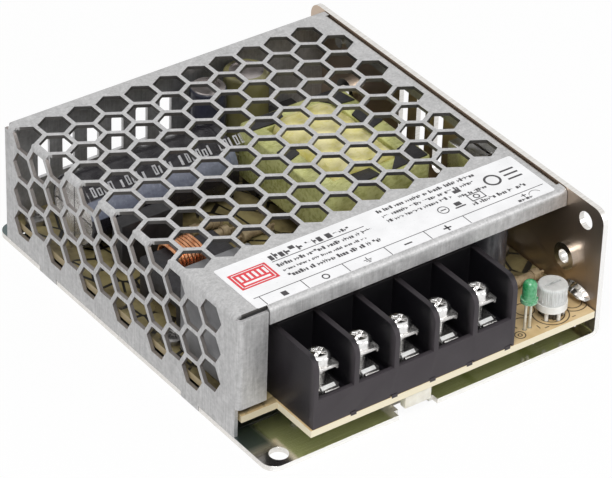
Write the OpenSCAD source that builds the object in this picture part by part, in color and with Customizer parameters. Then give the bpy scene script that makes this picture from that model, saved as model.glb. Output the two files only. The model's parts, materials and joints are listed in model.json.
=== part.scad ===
// Small enclosed AC to DC power supply with a perforated cover and five screw terminals

/* [Case] */
// Overall width across the case
case_w = 82; // [80:1:90]
// Overall length, terminal end to far end
case_l = 99; // [98:1:110]
// Overall height
case_h = 30; // [29:0.5:36]
// Thickness of the folded base sheet
base_t = 1.2; // [1:0.1:1.5]
// Thickness of the cover sheet
cover_t = 0.8; // [0.6:0.1:1]
// Outside radius of the base fold
base_bend_r = 2; // [1.6:0.1:2.5]
// Outside radius of the cover folds
cover_bend_r = 1.3; // [1.1:0.1:1.6]
// Radius of the rounded sheet corners
corner_r = 3; // [2:0.5:4]
// Distance from the terminal end to the cover
cover_front_gap = 11.4; // [11:0.1:13]
// Distance from the far end to the cover
cover_rear_gap = 4.1; // [3:0.1:5]
// Clearance between the cover and the base sheet
cover_clear = 0.1; // [0.05:0.05:0.3]
// Height of the base wall above the cover
cover_drop = 0.2; // [0.1:0.1:0.5]

/* [Cover openings] */
// Spacing of the hexagons
hex_pitch = 7.1; // [6.8:0.1:7.4]
// Web left between two hexagons
hex_web = 1; // [0.8:0.1:1.4]
// Rows of hexagons along the top
top_rows = 10; // [6:1:10]
// Rows of hexagons along the side
side_rows = 12; // [8:1:12]
// Hexagons in one row of the top
hexes_per_row = 11; // [9:1:11]
// Distance from the back of the cover to the first row
hex_first = 6.6; // [5:0.1:8]
// Distance of the first full side hexagon below the top
hex_side_drop = 7.96; // [7.6:0.01:8.4]
// Height of the front lip
lip_h = 3.9; // [3:0.1:5]
// Width of the front side flange
flange_w = 7; // [5:0.5:8]
// Height of the flange's lower edge
flange_z = 8; // [7:0.5:9]
// Width of the slots in the back wall
back_slot_w = 3; // [2.5:0.1:3.4]
// Height of the slots in the back wall
back_slot_h = 9; // [6:0.5:12]
// Spacing of the slots in the back wall
back_slot_pitch = 6.1; // [5.5:0.1:6.4]
// Number of slots in the back wall
back_slots = 6; // [4:1:6]

/* [Base openings] */
// Diameter of the four mounting holes
ear_hole_d = 4; // [3.5:0.1:4.5]
// Inset of the ear holes from the two ends
ear_hole_end = 3.4; // [3:0.1:4]
// Inset of the ear holes from the side
ear_hole_side = 4.4; // [4:0.1:5]
// Width of the vent slots in the wall
vent_w = 3; // [2.5:0.1:3.5]
// Height of the vent slots in the wall
vent_h = 15.6; // [12:0.2:16]
// Spacing of the vent slots
vent_pitch = 6; // [5.4:0.1:7]
// Number of vent slots
vents = 3; // [2:1:4]
// Thread diameter of the tapped mounting holes
tap_d = 3; // [2.5:0.5:4]
// Outside diameter of the drawn collar round a tapped hole
tap_collar_d = 6; // [5:0.5:7]
// Depth of the drawn collar
tap_collar_h = 1.4; // [1:0.1:2]
// Width of the notch in the front edge of the base
notch_w = 7.6; // [6:0.2:10]
// Depth of the notch in the front edge of the base
notch_d = 4.4; // [3:0.2:6]

/* [Board] */
// Thickness of the circuit board
board_t = 1.6; // [1:0.2:2]
// Height of the board above the base sheet
board_gap = 3.7; // [3.4:0.1:4.5]
// Gap between the board and the sheets around it
board_clear = 0.3; // [0.2:0.1:0.5]
// Width of the cut-out at the board's front corner
board_notch_w = 8.4; // [8:0.2:9]
// Diameter of the small lead holes
lead_hole_d = 1.1; // [0.9:0.1:1.3]
// Diameter of the component leads
lead_d = 0.6; // [0.5:0.1:0.8]
// Diameter of the pressed standoffs
standoff_d = 5; // [4:0.5:6]

/* [Terminals] */
// Number of terminals
terminals = 5; // [5:1:5]
// Spacing of the terminals
terminal_pitch = 9.7; // [9.2:0.1:9.8]
// Thickness of the barriers
barrier_t = 1.2; // [1:0.1:1.6]
// Depth of the terminal block
block_d = 15.4; // [15:0.2:17]
// Height of the barriers above the board
barrier_h = 16.5; // [15.5:0.5:18]
// Height of the front wall above the board
sill_h = 6.8; // [6:0.1:8]
// Height of the compartment floor above the board
floor_h = 5.1; // [4.8:0.1:5.6]
// Radius of the barriers' front corner
barrier_r = 3; // [2:0.5:4]
// Diameter of the screw thread
screw_d = 3; // [2.6:0.1:3.2]
// Length of the screw below its head
screw_l = 6.4; // [6.2:0.1:6.5]
// Diameter of the screw head
head_d = 5.2; // [4.6:0.1:5.6]
// Height of the screw head
head_h = 2; // [1.6:0.1:2.4]
// Height of the head's underside above the board
head_z = 10.9; // [10.5:0.1:11.1]
// Distance from the front of the block to the screws
screw_y = 6.2; // [5.8:0.1:6.6]
// Radial running clearance on the screw
screw_clear = 0.05; // [0.03:0.01:0.08]
// Side of the square clamp plate
plate_w = 5.8; // [5.4:0.1:6.2]
// Thickness of the clamp plate
plate_t = 0.8; // [0.6:0.1:1]
// Thickness of the contact
contact_t = 0.8; // [0.6:0.1:1]
// Width of the contact's front tongue
tongue_w = 3.4; // [3:0.1:4]

/* [Adjuster and lamp] */
// Diameter of the adjuster knob
knob_d = 6.2; // [5.8:0.1:6.6]
// Height of the adjuster knob
knob_h = 3.9; // [3.4:0.1:4.4]
// Height of the adjuster base above the board
trimmer_base_h = 3.7; // [3.5:0.1:4]
// Place of the adjuster across the case
trimmer_x = 31.5; // [31:0.1:32]
// Distance from the terminal end to the adjuster
trimmer_y = 4.4; // [4.2:0.1:4.8]
// Diameter of the lamp
led_d = 3; // [3:0.1:3.2]
// Height of the lamp's base above the board
led_z = 6.7; // [6:0.1:7.5]
// Place of the lamp across the case
led_x = 24.4; // [24:0.1:25]
// Distance from the terminal end to the lamp
led_y = 3.2; // [3:0.1:3.6]

/* [Inner parts] */
// Diameter of the bulk capacitor
bulk_d = 16; // [14:0.5:16]
// Length of the bulk capacitor
bulk_l = 36; // [32:0.5:37]
// Width of the transformer across the case
xfmr_w = 27; // [25:0.5:27.5]
// Length of the transformer along the case
xfmr_l = 33; // [30:0.5:34]
// Height of the transformer core above the board
xfmr_core_top = 16.5; // [15:0.5:17]
// Height of the winding above the board
xfmr_top = 19; // [18:0.5:20]
// Width of the box capacitor across the case
xcap_w = 16.5; // [14:0.5:17]
// Length of the box capacitor along the case
xcap_l = 18; // [16:0.5:18]
// Height of the box capacitor
xcap_h = 19.5; // [15:0.5:20]
// Diameter of the upright capacitors
cap_d = 10; // [8:0.5:10]
// Height of the upright capacitors
cap_h = 20; // [16:0.5:20.5]

/* [Hidden] */
$fn = 48;
eps = 0.01;
cut = 1;
index = [for (i = [1 : terminals]) i];

x_left = -case_w / 2;
x_right = case_w / 2;
y_front = -case_l / 2;
y_back = case_l / 2;
wall_in = x_right - base_t;

cover_front = y_front + cover_front_gap;
cover_back = y_back - cover_rear_gap;
cover_l = cover_back - cover_front;
cover_right = wall_in - cover_clear;
cover_top = case_h - cover_drop;
cover_under = cover_top - cover_t;
cover_foot = base_t + 0.05;

board_z = base_t + board_gap;
board_top = board_z + board_t;
board_left = x_left + cover_t + board_clear;
board_right = wall_in - board_clear;
board_front = y_front + 0.05;
board_back = cover_back - cover_t - board_clear;

hex_af = hex_pitch - hex_web;
hex_r = hex_af / sqrt(3);
hex_row = hex_pitch * sqrt(3) / 2;
hex_y = cover_back - hex_first;
hex_fold_shift = 0.84;
hex_x = x_left + hex_fold_shift;
back_slot_x = x_left + 39.4;
back_slot_z = case_h - 12;
vent_y = y_back - 33.6;
vent_top = case_h - 3.8;
notch_x = x_left + 32;

block_w = terminals * terminal_pitch + barrier_t;
block_left = x_left + 9.9;
block_front = board_front + 0.05;
block_back = block_front + block_d;
block_floor = board_top + floor_h;
sill_t = 1.1;
screw_line = block_front + screw_y;
contact_top = block_floor + contact_t;
head_under = board_top + head_z;
function terminal_x(i) = block_left + barrier_t / 2 + (i - 0.5) * terminal_pitch;

// The inner parts grow with the room that the standard case gives them
room_w = 80;
room_l = 79.4;
room_h = 22.5;
grow_w = (wall_in - x_left - cover_t) / room_w;
grow_l = (cover_back - block_back) / room_l;
grow_h = (cover_under - board_top) / room_h;
grow_round = min(grow_w, grow_l);
barrier_rise = barrier_h * grow_h;
function along_x(d) = x_left + cover_t + d * grow_w;
function along_y(d) = block_back + d * grow_l;

can_d = cap_d * grow_round;
can_h = cap_h * grow_h;
small_can_d = 8 * grow_round;
bulk_can_d = bulk_d * min(grow_round, grow_h);
bulk_can_l = bulk_l * grow_w;
bulk_x = along_x(5.2);
bulk_y = along_y(63);
bulk_lead_x = bulk_x + bulk_can_l + 1.2;
bulk_lead_gap = 7.5;
core_w = xfmr_w * grow_w;
core_l = xfmr_l * grow_l;
xfmr_x = along_x(44.2);
xfmr_y = along_y(28);
xcap_x = along_x(2.7);
xcap_y = along_y(3);
box_w = xcap_w * grow_w;
box_l = xcap_l * grow_l;
filter_w = 18 * grow_w;
filter_l = 16 * grow_l;
filter_x = along_x(6.7);
filter_y = along_y(25);

rectifier_l = 10;
rectifier_y = along_y(19);
standoff_left = x_left + ear_hole_side;
standoff_right = wall_in - 3.8;
standoff_back = y_back - 8.9;
standoffs = [[standoff_left, standoff_back], [standoff_right, standoff_back],
             [standoff_left, along_y(24.2)], [standoff_right, along_y(12)]];
standoff_hole_d = 2.5;
board_screw_head_d = 5;

output_caps = [[along_x(64.7), along_y(3.4)], [along_x(64.7), along_y(14.4)], [along_x(52.8), along_y(6.6)]];
rear_cap_y = board_back - can_d / 2 - 0.6;
rear_caps = [[along_x(55.2), rear_cap_y, can_d, can_h],
             [along_x(45.8), board_back - small_can_d / 2 - 1, small_can_d, can_h - 1]];

// ---- shared shapes ----

// Rectangle from its low corner with all four corners rounded
module rounded_rect(w, h, r) {
    hull() for (x = [r, w - r], y = [r, h - r]) translate([x, y]) circle(r, $fn = 32);
}

// Hexagon with two flats across X and its points along Y
module hexagon() {
    rotate(90) circle(hex_r, $fn = 6);
}

// Upright slot of width w and height h with round ends, through a sheet normal to X
module slot_x(w, h, t) {
    rotate([90, 0, 90]) translate([0, 0, -t / 2]) linear_extrude(t) {
        square([w, h - w], center = true);
        for (s = [-1, 1]) translate([0, s * (h - w) / 2]) circle(d = w);
    }
}

// Upright electrolytic capacitor: a rolled groove near the base, a rounded shoulder at the top
module upright_can(d, h) {
    r = d / 2;
    shoulder = 0.7;
    groove_z = 2;
    groove_r = 0.5;
    rotate_extrude() difference() {
        union() {
            square([r - shoulder, h]);
            square([r, h - shoulder]);
            translate([r - shoulder, h - shoulder]) circle(shoulder);
        }
        translate([r + groove_r * 0.4, groove_z]) circle(groove_r);
        translate([0, h - 0.3]) square([r - 2 * shoulder, cut]);
    }
}

// ---- case ----

// Cross-section of the base: plate and right wall joined by a round fold
module base_section() {
    inner_r = base_bend_r - base_t;
    difference() {
        union() {
            translate([x_left, 0]) square([case_w - base_bend_r, base_t]);
            translate([wall_in, base_bend_r]) square([base_t, case_h - base_bend_r]);
            intersection() {
                translate([x_right - base_bend_r, base_bend_r]) circle(base_bend_r);
                translate([x_right - base_bend_r, 0]) square(base_bend_r);
            }
        }
        translate([x_right - base_bend_r, base_bend_r]) circle(inner_r);
    }
}

// Corner cutter: what lies outside a round corner at the origin, pointing to +X +Y
module corner_cut(r) {
    translate([-r, -r]) difference() {
        square(r + cut);
        circle(r);
    }
}

module plate_notch() {
    notch_r = 1.6;
    translate([notch_x, y_front - cut]) {
        square([notch_w, notch_d + cut]);
        translate([0, cut]) mirror([1, 0]) mirror([0, 1]) corner_cut(notch_r);
        translate([notch_w, cut]) mirror([0, 1]) corner_cut(notch_r);
    }
}

// Half-round tab lanced out of the wall, holding down the edge of the board
module lanced_tab() {
    tab_r = 4;
    tab_y = y_front + 6;
    tab_z = board_top + 0.35;
    tab_reach = 2.2;
    translate([wall_in, tab_y, tab_z]) rotate([90, 0, 0]) rotate([0, 90, 0])
        translate([0, 0, -tab_reach]) intersection() {
            cylinder(tab_reach + eps, 1, tab_r);
            translate([-tab_r, 0, 0]) cube([2 * tab_r, tab_r, tab_reach + eps]);
        }
}

module tapped_collar() {
    cylinder(tap_collar_h + eps, d = tap_collar_d);
}

tap_y = [y_front + 9.6, y_back - 14.9];
tap_z = case_h / 2;
tap_x = x_left + 21;
base_taps = [[tap_x, y_front + 18.5], [tap_x, y_back - 25.5]];
hem_screw_y = [cover_front + 9, cover_back - 9];
hem_h = 4;
hem_z = cover_top - cover_t - 2.2;
cover_screw_d = 2.6;
cover_head_d = 4.4;

module chassis() {
    color([0.62, 0.63, 0.64]) difference() {
        union() {
            translate([0, y_back, 0]) rotate([90, 0, 0]) linear_extrude(case_l) base_section();
            for (y = tap_y) translate([wall_in + eps, y, tap_z]) rotate([0, -90, 0]) tapped_collar();
            for (p = base_taps) translate([p[0], p[1], base_t - eps]) tapped_collar();
            lanced_tab();
        }
        for (y = tap_y)
            translate([x_right + cut, y, tap_z]) rotate([0, -90, 0])
                cylinder(base_t + tap_collar_h + 2 * cut, d = tap_d);
        for (p = base_taps)
            translate([p[0], p[1], -cut]) cylinder(base_t + tap_collar_h + 2 * cut, d = tap_d);
        // ear holes in the plate and in the wall
        for (s = [-1, 1]) {
            translate([x_left + ear_hole_side, s * (y_back - ear_hole_end), -cut])
                cylinder(base_t + 2 * cut, d = ear_hole_d);
            translate([wall_in - cut, s * (y_back - ear_hole_end - 2), case_h - ear_hole_side])
                rotate([0, 90, 0]) cylinder(base_t + 2 * cut, d = ear_hole_d);
        }
        // rounded free corners
        translate([0, 0, -cut]) linear_extrude(base_t + 2 * cut) {
            translate([x_left, y_back]) mirror([1, 0]) corner_cut(corner_r);
            translate([x_left, y_front]) mirror([1, 0]) mirror([0, 1]) corner_cut(corner_r);
            plate_notch();
        }
        for (s = [0, 1])
            translate([wall_in - cut, 0, case_h]) mirror([0, s, 0]) translate([0, y_back, 0])
                rotate([90, 0, 90]) linear_extrude(base_t + 2 * cut) corner_cut(corner_r);
        // vent slots
        for (i = [0 : vents - 1])
            translate([wall_in + base_t / 2, vent_y - i * vent_pitch, vent_top - vent_h / 2])
                slot_x(vent_w, vent_h, base_t + 2 * cut);
        // countersunk holes for the cover screws
        for (y = hem_screw_y) translate([x_right + eps, y, hem_z]) rotate([0, -90, 0]) {
            cylinder(base_t + cut, d = cover_screw_d + 0.4);
            cylinder(0.8, d1 = cover_head_d + 0.3, d2 = cover_screw_d + 0.4);
        }
        // press holes for the standoffs
        for (p = standoffs) translate([p[0], p[1], -cut]) cylinder(base_t + 2 * cut, d = standoff_d - 1);
        // notches that the hooks of the cover drop into
        for (y = hook_y) translate([x_left - cut, y - hook_w / 2 - cover_clear, -cut])
            cube([cover_t + cover_clear + cut, hook_w + 2 * cover_clear, base_t + 2 * cut]);
    }
}

hook_w = 6;
hook_y = [cover_front + 16, cover_back - 16];

// Cross-section of the cover: left side and top joined by a round fold, hem on the right
module cover_section() {
    inner_r = cover_bend_r - cover_t;
    difference() {
        union() {
            translate([x_left, cover_foot]) square([cover_t, cover_top - cover_foot - cover_bend_r]);
            translate([x_left + cover_bend_r, cover_under])
                square([cover_right - x_left - 2 * cover_bend_r, cover_t]);
            translate([cover_right - cover_t, cover_top - hem_h]) square([cover_t, hem_h - cover_bend_r]);
            for (x = [x_left + cover_bend_r, cover_right - cover_bend_r])
                translate([x, cover_top - cover_bend_r]) intersection() {
                    circle(cover_bend_r);
                    translate([x < 0 ? -cover_bend_r : 0, 0]) square(cover_bend_r);
                }
        }
        for (x = [x_left + cover_bend_r, cover_right - cover_bend_r])
            translate([x, cover_top - cover_bend_r]) circle(inner_r);
    }
}

// Front lip and back wall: each a fold from the top running along X
module end_fold(h, x0, x1) {
    inner_r = cover_bend_r - cover_t;
    translate([x0, 0, 0]) rotate([90, 0, 90]) linear_extrude(x1 - x0) difference() {
        union() {
            translate([0, cover_top - h]) square([cover_t, h - cover_bend_r]);
            intersection() {
                translate([cover_bend_r, cover_top - cover_bend_r]) circle(cover_bend_r);
                translate([0, cover_top - cover_bend_r]) square(cover_bend_r);
            }
            translate([cover_bend_r, cover_under]) square([cover_bend_r, cover_t]);
        }
        translate([cover_bend_r, cover_top - cover_bend_r]) circle(inner_r);
    }
}

module top_hexes() {
    for (j = [0 : top_rows - 1], i = [0 : hexes_per_row - 1])
        translate([hex_x + (i + (j % 2) / 2) * hex_pitch, hex_y - j * hex_row, cover_under - 0.4])
            linear_extrude(cover_t + cut) hexagon();
}

// The side rows carry on from the top rows round the fold
module side_hexes() {
    for (j = [0 : side_rows - 1], i = [(j % 2 == 0 && j < top_rows) ? 0 : 1 : 3]) {
        z = cover_top - hex_side_drop + hex_pitch - i * hex_pitch + (j % 2) * hex_pitch / 2;
        translate([x_left - cut, hex_y - j * hex_row, z]) rotate([0, 90, 0])
            linear_extrude(cut + (i == 0 ? cover_bend_r : cover_t + 0.1)) hexagon();
    }
}

module back_slot() {
    slot_r = 0.9;
    rotate([90, 0, 0]) linear_extrude(cover_t + 2 * cut) difference() {
        translate([-back_slot_w / 2, -back_slot_h / 2]) square([back_slot_w, back_slot_h]);
        translate([back_slot_w / 2, back_slot_h / 2]) corner_cut(slot_r);
        translate([-back_slot_w / 2, back_slot_h / 2]) mirror([1, 0]) corner_cut(slot_r);
    }
}

corner_relief = 0.3;

module cover() {
    color([0.74, 0.76, 0.77]) difference() {
        union() {
            difference() {
                translate([0, cover_back - cover_bend_r, 0]) rotate([90, 0, 0])
                    linear_extrude(cover_l - 2 * cover_bend_r) cover_section();
                top_hexes();
                side_hexes();
            }
            // front lip and back wall
            translate([0, cover_front, 0])
                end_fold(lip_h, x_left + flange_w + corner_relief, cover_right);
            translate([0, cover_back, 0]) mirror([0, 1, 0])
                end_fold(cover_top - cover_foot, x_left + cover_t + corner_relief, cover_right);
            // side flange folded in from the side panel
            translate([x_left, cover_front, flange_z]) linear_extrude(cover_top - 0.75 - flange_z) flange_fold();
            translate([x_left, cover_front + cover_t, cover_foot])
                cube([cover_t, cover_bend_r, flange_z - cover_foot + eps]);
            translate([x_left, cover_back - cover_bend_r - eps, cover_foot])
                cube([cover_t, cover_bend_r - cover_clear, cover_top - cover_bend_r - cover_foot]);
            // hooks in the notches of the base
            for (y = hook_y) translate([x_left, y - hook_w / 2, 0])
                cube([cover_t, hook_w, cover_foot + eps]);
        }
        for (i = [0 : back_slots - 1])
            translate([back_slot_x - i * back_slot_pitch, cover_back + cut, back_slot_z]) back_slot();
        for (y = hem_screw_y) translate([cover_right + cut, y, hem_z]) rotate([0, -90, 0])
            cylinder(cover_t + 2 * cut, d = cover_screw_d);
        // corner of the back wall clear of the base fold
        translate([x_right - base_bend_r - cover_clear, cover_back - 2 * cover_bend_r, 0])
            cube([base_bend_r, 2 * cover_bend_r + cut, base_bend_r + cover_clear]);
    }
}

module flange_fold() {
    difference() {
        union() {
            translate([0, cover_bend_r]) square([cover_t, cover_bend_r]);
            translate([cover_bend_r, 0]) square([flange_w - cover_bend_r, cover_t]);
            intersection() {
                translate([cover_bend_r, cover_bend_r]) circle(cover_bend_r);
                square(cover_bend_r);
            }
        }
        translate([cover_bend_r, cover_bend_r]) circle(cover_bend_r - cover_t);
    }
}

// Countersunk cover screws, head flush in the wall
module cover_screws() {
    color([0.8, 0.8, 0.82]) for (y = hem_screw_y)
        translate([x_right - 0.05, y, hem_z]) rotate([0, -90, 0]) difference() {
            union() {
                cylinder(0.7, d1 = cover_head_d, d2 = cover_screw_d);
                cylinder(base_t + cover_t + 1.4, d = cover_screw_d);
            }
            for (a = [0, 90]) rotate(a) translate([-1.1, -0.2, -cut]) cube([2.2, 0.4, cut + 0.4]);
        }
}

// Printed label on the front of the top
label_l = case_w - 8.6;
label_w = 14.8;
label_t = 0.1;

module label() {
    color("white") translate([x_left + 5.1, cover_front + 1.2, cover_top])
        linear_extrude(label_t) rounded_rect(label_l, label_w, 0.5);
}

// ---- board ----

sheet_t = 0.3;

module insulating_sheet() {
    sheet_front = y_front + 14;
    color([0.16, 0.17, 0.16]) difference() {
        translate([board_left + 1, sheet_front, base_t])
            cube([board_right - board_left - 3, board_back - sheet_front - 1, sheet_t]);
        for (p = standoffs) translate([p[0], p[1], 0]) cylinder(board_z, d = standoff_d + 1);
        for (p = base_taps) translate([p[0], p[1], 0]) cylinder(board_z, d = tap_collar_d + 1);
    }
}

lead_spots = concat(
    [for (s = [-1, 1]) [led_x + s * 0.65, y_front + led_y]],
    [for (a = [210, 270, 330]) [trimmer_x + 2.5 * cos(a), y_front + trimmer_y + 2.5 * sin(a)]],
    [for (s = [-1, 1]) [bulk_lead_x, bulk_y + s * bulk_lead_gap / 2]]);

module circuit_board() {
    color([0.80, 0.70, 0.50]) difference() {
        translate([board_left, board_front, board_z])
            cube([board_right - board_left, board_back - board_front, board_t]);
        translate([board_left - cut, board_front - cut, board_z - cut])
            cube([board_notch_w + cut, cover_front_gap + cut - 0.1, board_t + 2 * cut]);
        for (p = lead_spots) translate([p[0], p[1], board_z - cut]) cylinder(board_t + 2 * cut, d = lead_hole_d);
        for (p = standoffs) translate([p[0], p[1], board_z - cut]) cylinder(board_t + 2 * cut, d = 3.2);
        for (i = index) translate([terminal_x(i), tail_y, board_z + board_t / 2])
            cube([tail_w + 0.4, contact_t + 0.4, board_t + 2 * cut], center = true);
    }
}

module board_standoffs() {
    color([0.7, 0.7, 0.7]) for (p = standoffs) translate([p[0], p[1], 0]) difference() {
        union() {
            cylinder(base_t, d = standoff_d - 1);
            translate([0, 0, base_t]) cylinder(board_gap, d = standoff_d);
        }
        translate([0, 0, 0.6]) cylinder(board_z, d = standoff_hole_d);
    }
}

module board_screws() {
    color([0.8, 0.8, 0.8]) for (p = standoffs) translate([p[0], p[1], board_top]) difference() {
        union() {
            cylinder(1.2, d = board_screw_head_d);
            translate([0, 0, -board_t - 2.4]) cylinder(board_t + 2.4 + eps, d = standoff_hole_d);
        }
        for (a = [0, 90]) rotate(a) translate([-1.3, -0.25, 0.6]) cube([2.6, 0.5, cut]);
    }
}

// Moulded spacer that holds the front edge of the board over the notch
module edge_spacer() {
    side_gap = 0.1;
    pad_t = 1.9;
    color([0.93, 0.91, 0.85]) {
        translate([notch_x + side_gap, y_front + 1.8, board_z - pad_t]) cube([notch_w - 2 * side_gap, 5.6, pad_t]);
        translate([notch_x + side_gap, y_front + notch_d + side_gap, base_t])
            cube([notch_w - 2 * side_gap, 2.9, board_gap - pad_t + eps]);
    }
}

// ---- terminal block ----

// Side view of a barrier, standing on the board, front at the origin
module barrier_profile() {
    difference() {
        square([block_d, barrier_rise]);
        translate([0, barrier_rise]) mirror([1, 0]) corner_cut(barrier_r);
    }
}

tail_w = 2;
tail_y = block_front + block_d - 2.6;
back_wall_t = 1.4;

module terminal_block() {
    pocket_w = terminal_pitch - barrier_t;
    color([0.16, 0.14, 0.17]) difference() {
        union() {
            translate([block_left, block_front, board_top]) cube([block_w, block_d, floor_h]);
            translate([block_left, block_front, board_top]) cube([block_w, sill_t, sill_h]);
            translate([block_left, block_back - back_wall_t, board_top])
                cube([block_w, back_wall_t, barrier_rise]);
            for (i = [0 : terminals])
                translate([block_left + i * terminal_pitch, block_front, board_top])
                    rotate([90, 0, 90]) linear_extrude(barrier_t) barrier_profile();
        }
        for (i = index) {
            translate([terminal_x(i), screw_line, board_top + 0.35]) cylinder(floor_h + cut, d = screw_d + 0.6);
            translate([terminal_x(i), tail_y, board_top + floor_h / 2])
                cube([tail_w + 0.2, contact_t + 0.2, floor_h + 2 * cut], center = true);
            // relief pockets along the lower front edge
            translate([terminal_x(i) + pocket_w / 2 - 0.6, block_front - cut, board_top - cut])
                cube([1.2, cut + 0.5, cut + 0.6]);
        }
    }
}

// Contact: threaded plate, narrow tongue to the front and a solder tail at the back
module terminal_contacts() {
    plate_back = tail_y + contact_t / 2;
    plate_front = screw_line - 2.9;
    tongue_front = block_front + sill_t + 0.2;
    color([0.86, 0.86, 0.88]) for (i = index) translate([terminal_x(i), 0, block_floor]) difference() {
        union() {
            translate([-3.1, plate_front, 0]) cube([6.2, plate_back - plate_front, contact_t]);
            translate([-tongue_w / 2, tongue_front, 0]) cube([tongue_w, plate_front - tongue_front + eps, contact_t]);
            translate([-tongue_w / 2, tongue_front, 0]) cube([tongue_w, contact_t, contact_t + 0.9]);
            translate([-tail_w / 2, plate_back - contact_t, -floor_h - board_t - 1.2])
                cube([tail_w, contact_t, floor_h + board_t + 1.2 + eps]);
        }
        translate([0, screw_line, -cut]) cylinder(contact_t + 2 * cut, d = screw_d + 2 * screw_clear);
    }
}

// Square clamp plate with two bent-down edges, captive under the screw head
module clamp_plate(i) {
    lip = 0.5;
    color([0.84, 0.84, 0.86]) translate([terminal_x(i), screw_line, head_under - plate_t]) difference() {
        union() {
            translate([-plate_w / 2, -plate_w / 2, 0]) cube([plate_w, plate_w, plate_t]);
            for (s = [-1, 1]) translate([s * (plate_w - lip) / 2 - lip / 2, -plate_w / 2, -lip])
                cube([lip, plate_w, lip + eps]);
        }
        translate([0, 0, -cut]) cylinder(plate_t + 2 * cut, d = screw_d + 2 * screw_clear);
    }
}

// Pan head screw with a crossed recess
module terminal_screw(i) {
    dome_r = 0.9;
    recess_w = 0.8;
    recess_d = 1;
    color([0.88, 0.88, 0.9]) translate([terminal_x(i), screw_line, head_under]) difference() {
        union() {
            rotate_extrude() {
                square([head_d / 2 - dome_r, head_h]);
                square([head_d / 2, head_h - dome_r]);
                translate([head_d / 2 - dome_r, head_h - dome_r]) circle(dome_r);
            }
            translate([0, 0, -screw_l]) cylinder(screw_l + 0.1, d = screw_d);
        }
        rotate(35) for (a = [0, 90]) rotate(a)
            translate([-1.5, -recess_w / 2, head_h - recess_d]) cube([3, recess_w, recess_d + cut]);
    }
}

// ---- adjuster and lamp ----

module power_lamp() {
    rim_h = 0.9;
    rim_d = led_d + 0.6;
    body_h = 3.7;
    color([0.1, 0.62, 0.3]) translate([led_x, y_front + led_y, board_top + led_z]) difference() {
        rotate_extrude() {
            square([rim_d / 2, rim_h]);
            square([led_d / 2, body_h]);
            intersection() {
                translate([0, body_h]) circle(d = led_d);
                translate([0, body_h - eps]) square(led_d);
            }
        }
        translate([rim_d / 2 - 0.25, -led_d, -cut]) cube([led_d, 2 * led_d, rim_h + cut]);
    }
}

module lamp_leads() {
    color([0.85, 0.82, 0.72]) for (s = [-1, 1])
        translate([led_x + s * 0.65, y_front + led_y, board_z - 1.6])
            cylinder(board_t + led_z + 1.6, d = lead_d);
}

module trimmer_base() {
    leg_r = 2.5;
    stem_r = 1;
    color([0.92, 0.91, 0.88]) translate([trimmer_x, y_front + trimmer_y, board_top]) {
        difference() {
            union() {
                translate([0, 0, trimmer_base_h - 1.6]) cylinder(1.6, d = knob_d + 0.4);
                translate([0, 0, trimmer_base_h - 0.1]) cylinder(1.4, r = stem_r);
            }
            translate([0, 0, trimmer_base_h - 1.6 - cut]) cylinder(1 + cut, d = knob_d - 1.2);
        }
        for (a = [210, 270, 330]) rotate(a) translate([leg_r, 0, -board_t - 1])
            cylinder(trimmer_base_h + board_t + 0.2, d = lead_d + 0.2);
    }
}

// Ribbed adjuster knob, turning on the stem of its base
module trimmer_knob() {
    ribs = 24;
    rib_d = 0.24;
    stem_bore = 2 + 2 * screw_clear;
    color([0.80, 0.82, 0.82]) translate([trimmer_x, y_front + trimmer_y, board_top + trimmer_base_h + 0.05])
        difference() {
            rotate_extrude() {
                square([knob_d / 2 - 0.5, knob_h]);
                square([knob_d / 2, knob_h - 0.5]);
                translate([knob_d / 2 - 0.5, knob_h - 0.5]) circle(0.5);
            }
            for (k = [0 : ribs - 1]) rotate(k * 360 / ribs)
                translate([knob_d / 2, 0, 0.6]) cylinder(knob_h - 1.5, d = rib_d);
            translate([0, 0, -cut]) cylinder(cut + 1.5, d = stem_bore);
            translate([-2, -0.3, knob_h - 0.7]) cube([4, 0.6, cut]);
        }
}

// ---- inner parts ----

// Bulk capacitor lying on the board, leads bent down at its right end
module bulk_capacitor() {
    lead_r = lead_d / 2 + 0.1;
    axis_z = board_top + bulk_can_d / 2;
    bulk_end = bulk_x + bulk_can_l;
    color([0.13, 0.13, 0.16]) translate([bulk_end, bulk_y, axis_z]) rotate([0, -90, 0])
        upright_can(bulk_can_d, bulk_can_l);
    color([0.8, 0.8, 0.8]) for (s = [-1, 1]) translate([0, bulk_y + s * bulk_lead_gap / 2, 0]) {
        translate([bulk_end - eps, 0, axis_z]) rotate([0, 90, 0])
            cylinder(bulk_lead_x - bulk_end + lead_r, r = lead_r);
        translate([bulk_lead_x, 0, board_z - 1]) cylinder(axis_z - board_z + 1, r = lead_r);
    }
}

module line_capacitor() {
    color([0.74, 0.73, 0.72]) translate([xcap_x, xcap_y, board_top])
        linear_extrude(xcap_h * grow_h) rounded_rect(box_w, box_l, 0.8);
}

filter_leg = 5;
filter_foot_h = 4;
filter_core_h = 5;

// Line filter: a closed ferrite ring standing on its moulded feet
module filter_core() {
    foot_w = 3;
    color([0.12, 0.12, 0.13]) translate([filter_x, filter_y, board_top]) {
        translate([0, 0, filter_foot_h]) linear_extrude(filter_core_h) difference() {
            square([filter_w, filter_l]);
            translate([filter_leg, filter_leg]) square([filter_w - 2 * filter_leg, filter_l - 2 * filter_leg]);
        }
        for (x = [0, filter_w - foot_w], y = [0, filter_l - foot_w])
            translate([x, y, 0]) cube([foot_w, foot_w, filter_foot_h + eps]);
    }
}

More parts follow.
